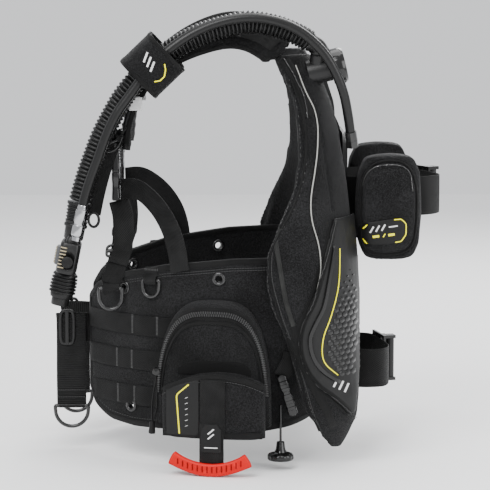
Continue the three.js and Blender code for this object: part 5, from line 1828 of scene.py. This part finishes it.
put(skin("inflator_hood", from_case(hood_rows)), MATTE)
made("inflator")

# %% [markdown]
# ## Knob, zip slider and side adjuster
# Small moulded pieces say a lot about scale, so they keep their flutes and steps.

# %% Dump knob, sliders and adjusters
def still_twin(piece, name):
    """A twin on the right that stays with the vest, under a name of its own."""
    copy = twin(piece, REST)
    copy.name = copy.data.name = name


knob_rows = [
    (0.2, 0), (4.6, 0), (5, -0.6), (6, -9), (8, -12.6), (14.6, -14.8), (16.2, -16.4), (16.5, -18.2),
    (16.5, -20.8), (15.4, -22.4), (13, -23), (10, -22.2), (6, -24), (0.2, -24)
]
knob = turned(
    "dump_knob_fluted", (-89, -174.2, -184), (0, 0, 1), knob_rows, 80, fluted(12, 0.06, -22, -15.5)
)
cord_path = smooth_path([(-89, -174.2, -185), (-89, -174.2, -160), (-89, -174.2, -138)], 30)
knob_cord = carry("cord", cord_path, 1.5, 1.5, (1, 0, 0), 2.0, 12)
put(join("dump_knob_and_cord", [knob, knob_cord]), GLOSSY, "dump_knob", ["dump_knob"])
slider_at = on_waist(-235, POCKET_DEEP * 0.55 + 6, -98)
slider_rows = [(0.2, 0.2), (3.4, 0.2), (4.6, 1.0), (5, 2.4), (5, 5.4), (4.4, 6.6), (0.2, 7.0)]
slider = turned("zip_slider_body", slider_at, (0, -1, 0), slider_rows, 28)
put(slider, GLOSSY, "zip_slider", ["zip_slider_left"])
still_twin(slider, "zip_slider_body_right")
pull_top = slider_at + (0, -3.5, -5.8)
pull_line = smooth_path(
    [pull_top, pull_top + (-3, 0, (-162 - pull_top[2]) / 2), pull_top + (-5, 0, -162 - pull_top[2])], 40
)
foot = pull_line[-1]
apart = np.sin(np.linspace(0, 1, 40) ** 1.4 * np.pi)[:, None] * (4.5, 0, 0)
strands = [
    carry("strand", pull_line + apart * k, 0.95, 0.95, (1, 0, 0.01), 2.0, 10) for k in (-0.35, 1.0)
]
toggle = turned(
    "toggle", foot + (0, 0, 2), (-0.035, 0, -1),
    [(0.2, 0), (3.2, 0.2), (3.6, 2), (3.6, 7), (4.2, 13), (4.2, 15), (3.4, 16), (0.2, 16)], 28
)
pull = put(
    join("zip_pull_cord", [*strands, toggle]), SOFT_RUBBER, "zip_pull", ["zip_pull_left"],
    slot="webbing"
)
still_twin(pull, "zip_pull_cord_right")
clip = np.array([(-89.0, -177, -100), (-84, -178, -116), (-78, -177.4, -134), (-73, -176.8, -150)])
u = np.linspace(0, 1, 90)
step = 1 + 0.16 * np.sign(np.sin(u * 40)) * (np.abs(u - 0.5) < 0.36)
wide = 6.2 * (
    1 - 0.3 * np.exp(-((u - 0.42) / 0.06) ** 2)
) * np.sqrt(np.clip(np.minimum(u, 1 - u) * 24, 0.2, 1))
adjuster = carry("side_adjuster_body_left", smooth_path(clip, 90), wide, 4.0 * step, (1, 0, 0), 4.0, 24)
both(adjuster, GLOSSY, REST, ["side_adjuster_left"])
link = [(-76, -73), (-78, -82), (-84, -94), (-88, -102)]
tape("side_link_web_left", line(*link, count=30), 19, waist(0), 1.5, 2.4, -1.0, WEBBING)
PATCH = [
    (-208, -92), (-199, -84), (-190, -81), (-140, -81), (-131, -84), (-124, -92), (-124, -99),
    (-208, -99)
]


def on_pocket_face(x, z, more):
    return on_waist(x, 0.5 + POCKET_DEEP * 0.95 + more, z)


both(plate("pocket_hook_patch_left", PATCH, on_pocket_face, 1.0, 0.2), LINING, slot="webbing")
made("small fittings")

# %% [markdown]
# ## Cylinder bands and cam buckles
# Each band is one closed loop in plan that passes through the plate's slots. The cam buckles are
# moulded: a slotted frame with two ears, and a lever with grip ribs on a pin.

# %% Tank bands and cams
BAND_LEVELS = {"upper": (110.0, 118.0), "lower": (-112.0, 55.0)}
PLATE_FACE = -8.9
for where, (level, reach) in BAND_LEVELS.items():
    y = 58.0
    run_start, run_end = np.array((reach * 0.7, y - 2)), np.array((reach * 0.92, 3.0))
    corner = [(PLATE_FACE, y - 9), (PLATE_FACE + 0.6, y - 2.5), (PLATE_FACE + 4, y - 0.5), (3, y)]
    run = [tuple(run_start + (run_end - run_start) * s) for s in (0.0, 0.25, 0.5, 0.75, 1.0)]
    back_run = [
        (reach * 0.97, -14), (reach, -34), (reach * 0.84, -y - 2), (reach * 0.4, -y - 8), (3, -y)
    ]
    across = [(PLATE_FACE, v) for v in (-40, -20, 0, 20, 40)]
    plan = corner + [(reach * 0.3, y + 8.6)] + run + back_run + [
        (a, -b) for a, b in corner
    ][::-1] + across
    loop = smooth_path(plan, 260, True)
    path = np.column_stack([loop, np.full(260, level)])
    band = carry(f"tank_band_web_{where}", path, 24.8, 1.0, (0, 0, 1), 6.0, 20, True)
    put(band, WEBBING, REST, [f"tank_band_{where}"])
    tail_at = loop[np.abs(loop[:, 1] + 20).argmin() + 6 : np.abs(loop[:, 1] + 20).argmin() + 60]
    offset = unit(tail_at - (reach * 0.4, 0)) * 2.4
    outer_tail = np.column_stack([tail_at + offset, np.full(len(tail_at), level)])
    put(carry(f"tank_band_tail_{where}", outer_tail, 24.0, 0.9, (0, 0, 1), 6.0, 18), WEBBING)
FINISHED_PARTS = {
    "cam_frame_upper": GLOSSY, "cam_frame_lower": GLOSSY, "cam_lever_upper": MATTE,
    "cam_lever_lower": MATTE, "back_plate": MATTE, "lp_fitting": COATED_STEEL,
}
for name, finish in FINISHED_PARTS.items():
    part_mesh = bpy.data.objects[name].data
    part_mesh.materials.clear()
    part_mesh.materials.append(finish)
made("cylinder bands")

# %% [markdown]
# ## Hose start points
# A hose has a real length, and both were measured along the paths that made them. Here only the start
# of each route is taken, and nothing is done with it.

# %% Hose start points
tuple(HOSE_ROUTE[0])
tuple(LEAD_ROUTE[0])

# %% [markdown]
# ## Floor and light
# A pale sweep of paper under the vest, a broad soft light over it, and a weaker one from each side.
# The world is a plain pale grey, so black cloth keeps its shape in its own sheen.

# %% Floor and lights
AIM_AT = (-0.12, 0.0, 0.06)


def floor():
    """A wide flat sheet under the lowest point of the vest."""
    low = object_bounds()[0][2]
    u, v = np.meshgrid(np.linspace(-3, 3, 13), np.linspace(-3, 3, 13), indexing="ij")
    top = np.stack([u, v, np.full_like(u, low - 0.0005)], -1) / MM
    sheet = slab("studio_floor", top, top - (0, 0, 10))
    sheet.data.materials.append(moulded("studio_paper", grey(0.92), 0.85, 200.0, 0.00002, 0.0))
    return sheet


def soft_light(name, place, size, watts):
    light = bpy.data.lights.new(name, "AREA")
    light.shape = "RECTANGLE"
    light.size, light.size_y = size
    light.energy = watts
    lamp = add_object(name, light)
    lamp.location = place
    lamp.rotation_euler = (Vector(AIM_AT) - Vector(place)).to_track_quat("-Z", "Y").to_euler()
    return lamp


floor()
soft_light("key", (-0.9, -1.5, 1.5), (1.2, 1.2), 46)
soft_light("fill", (1.3, -1.2, 0.7), (1.2, 1.2), 22)
soft_light("top", (0.0, 0.2, 1.9), (1.6, 1.6), 30)
soft_light("rear", (0.6, 1.6, 1.2), (1.2, 1.2), 26)
world = bpy.context.scene.world or bpy.data.worlds.new("studio")
bpy.context.scene.world = world
world.use_nodes = True
world.node_tree.nodes["Background"].inputs["Color"].default_value = (0.93, 0.94, 0.96, 1.0)
world.node_tree.nodes["Background"].inputs["Strength"].default_value = 1.05
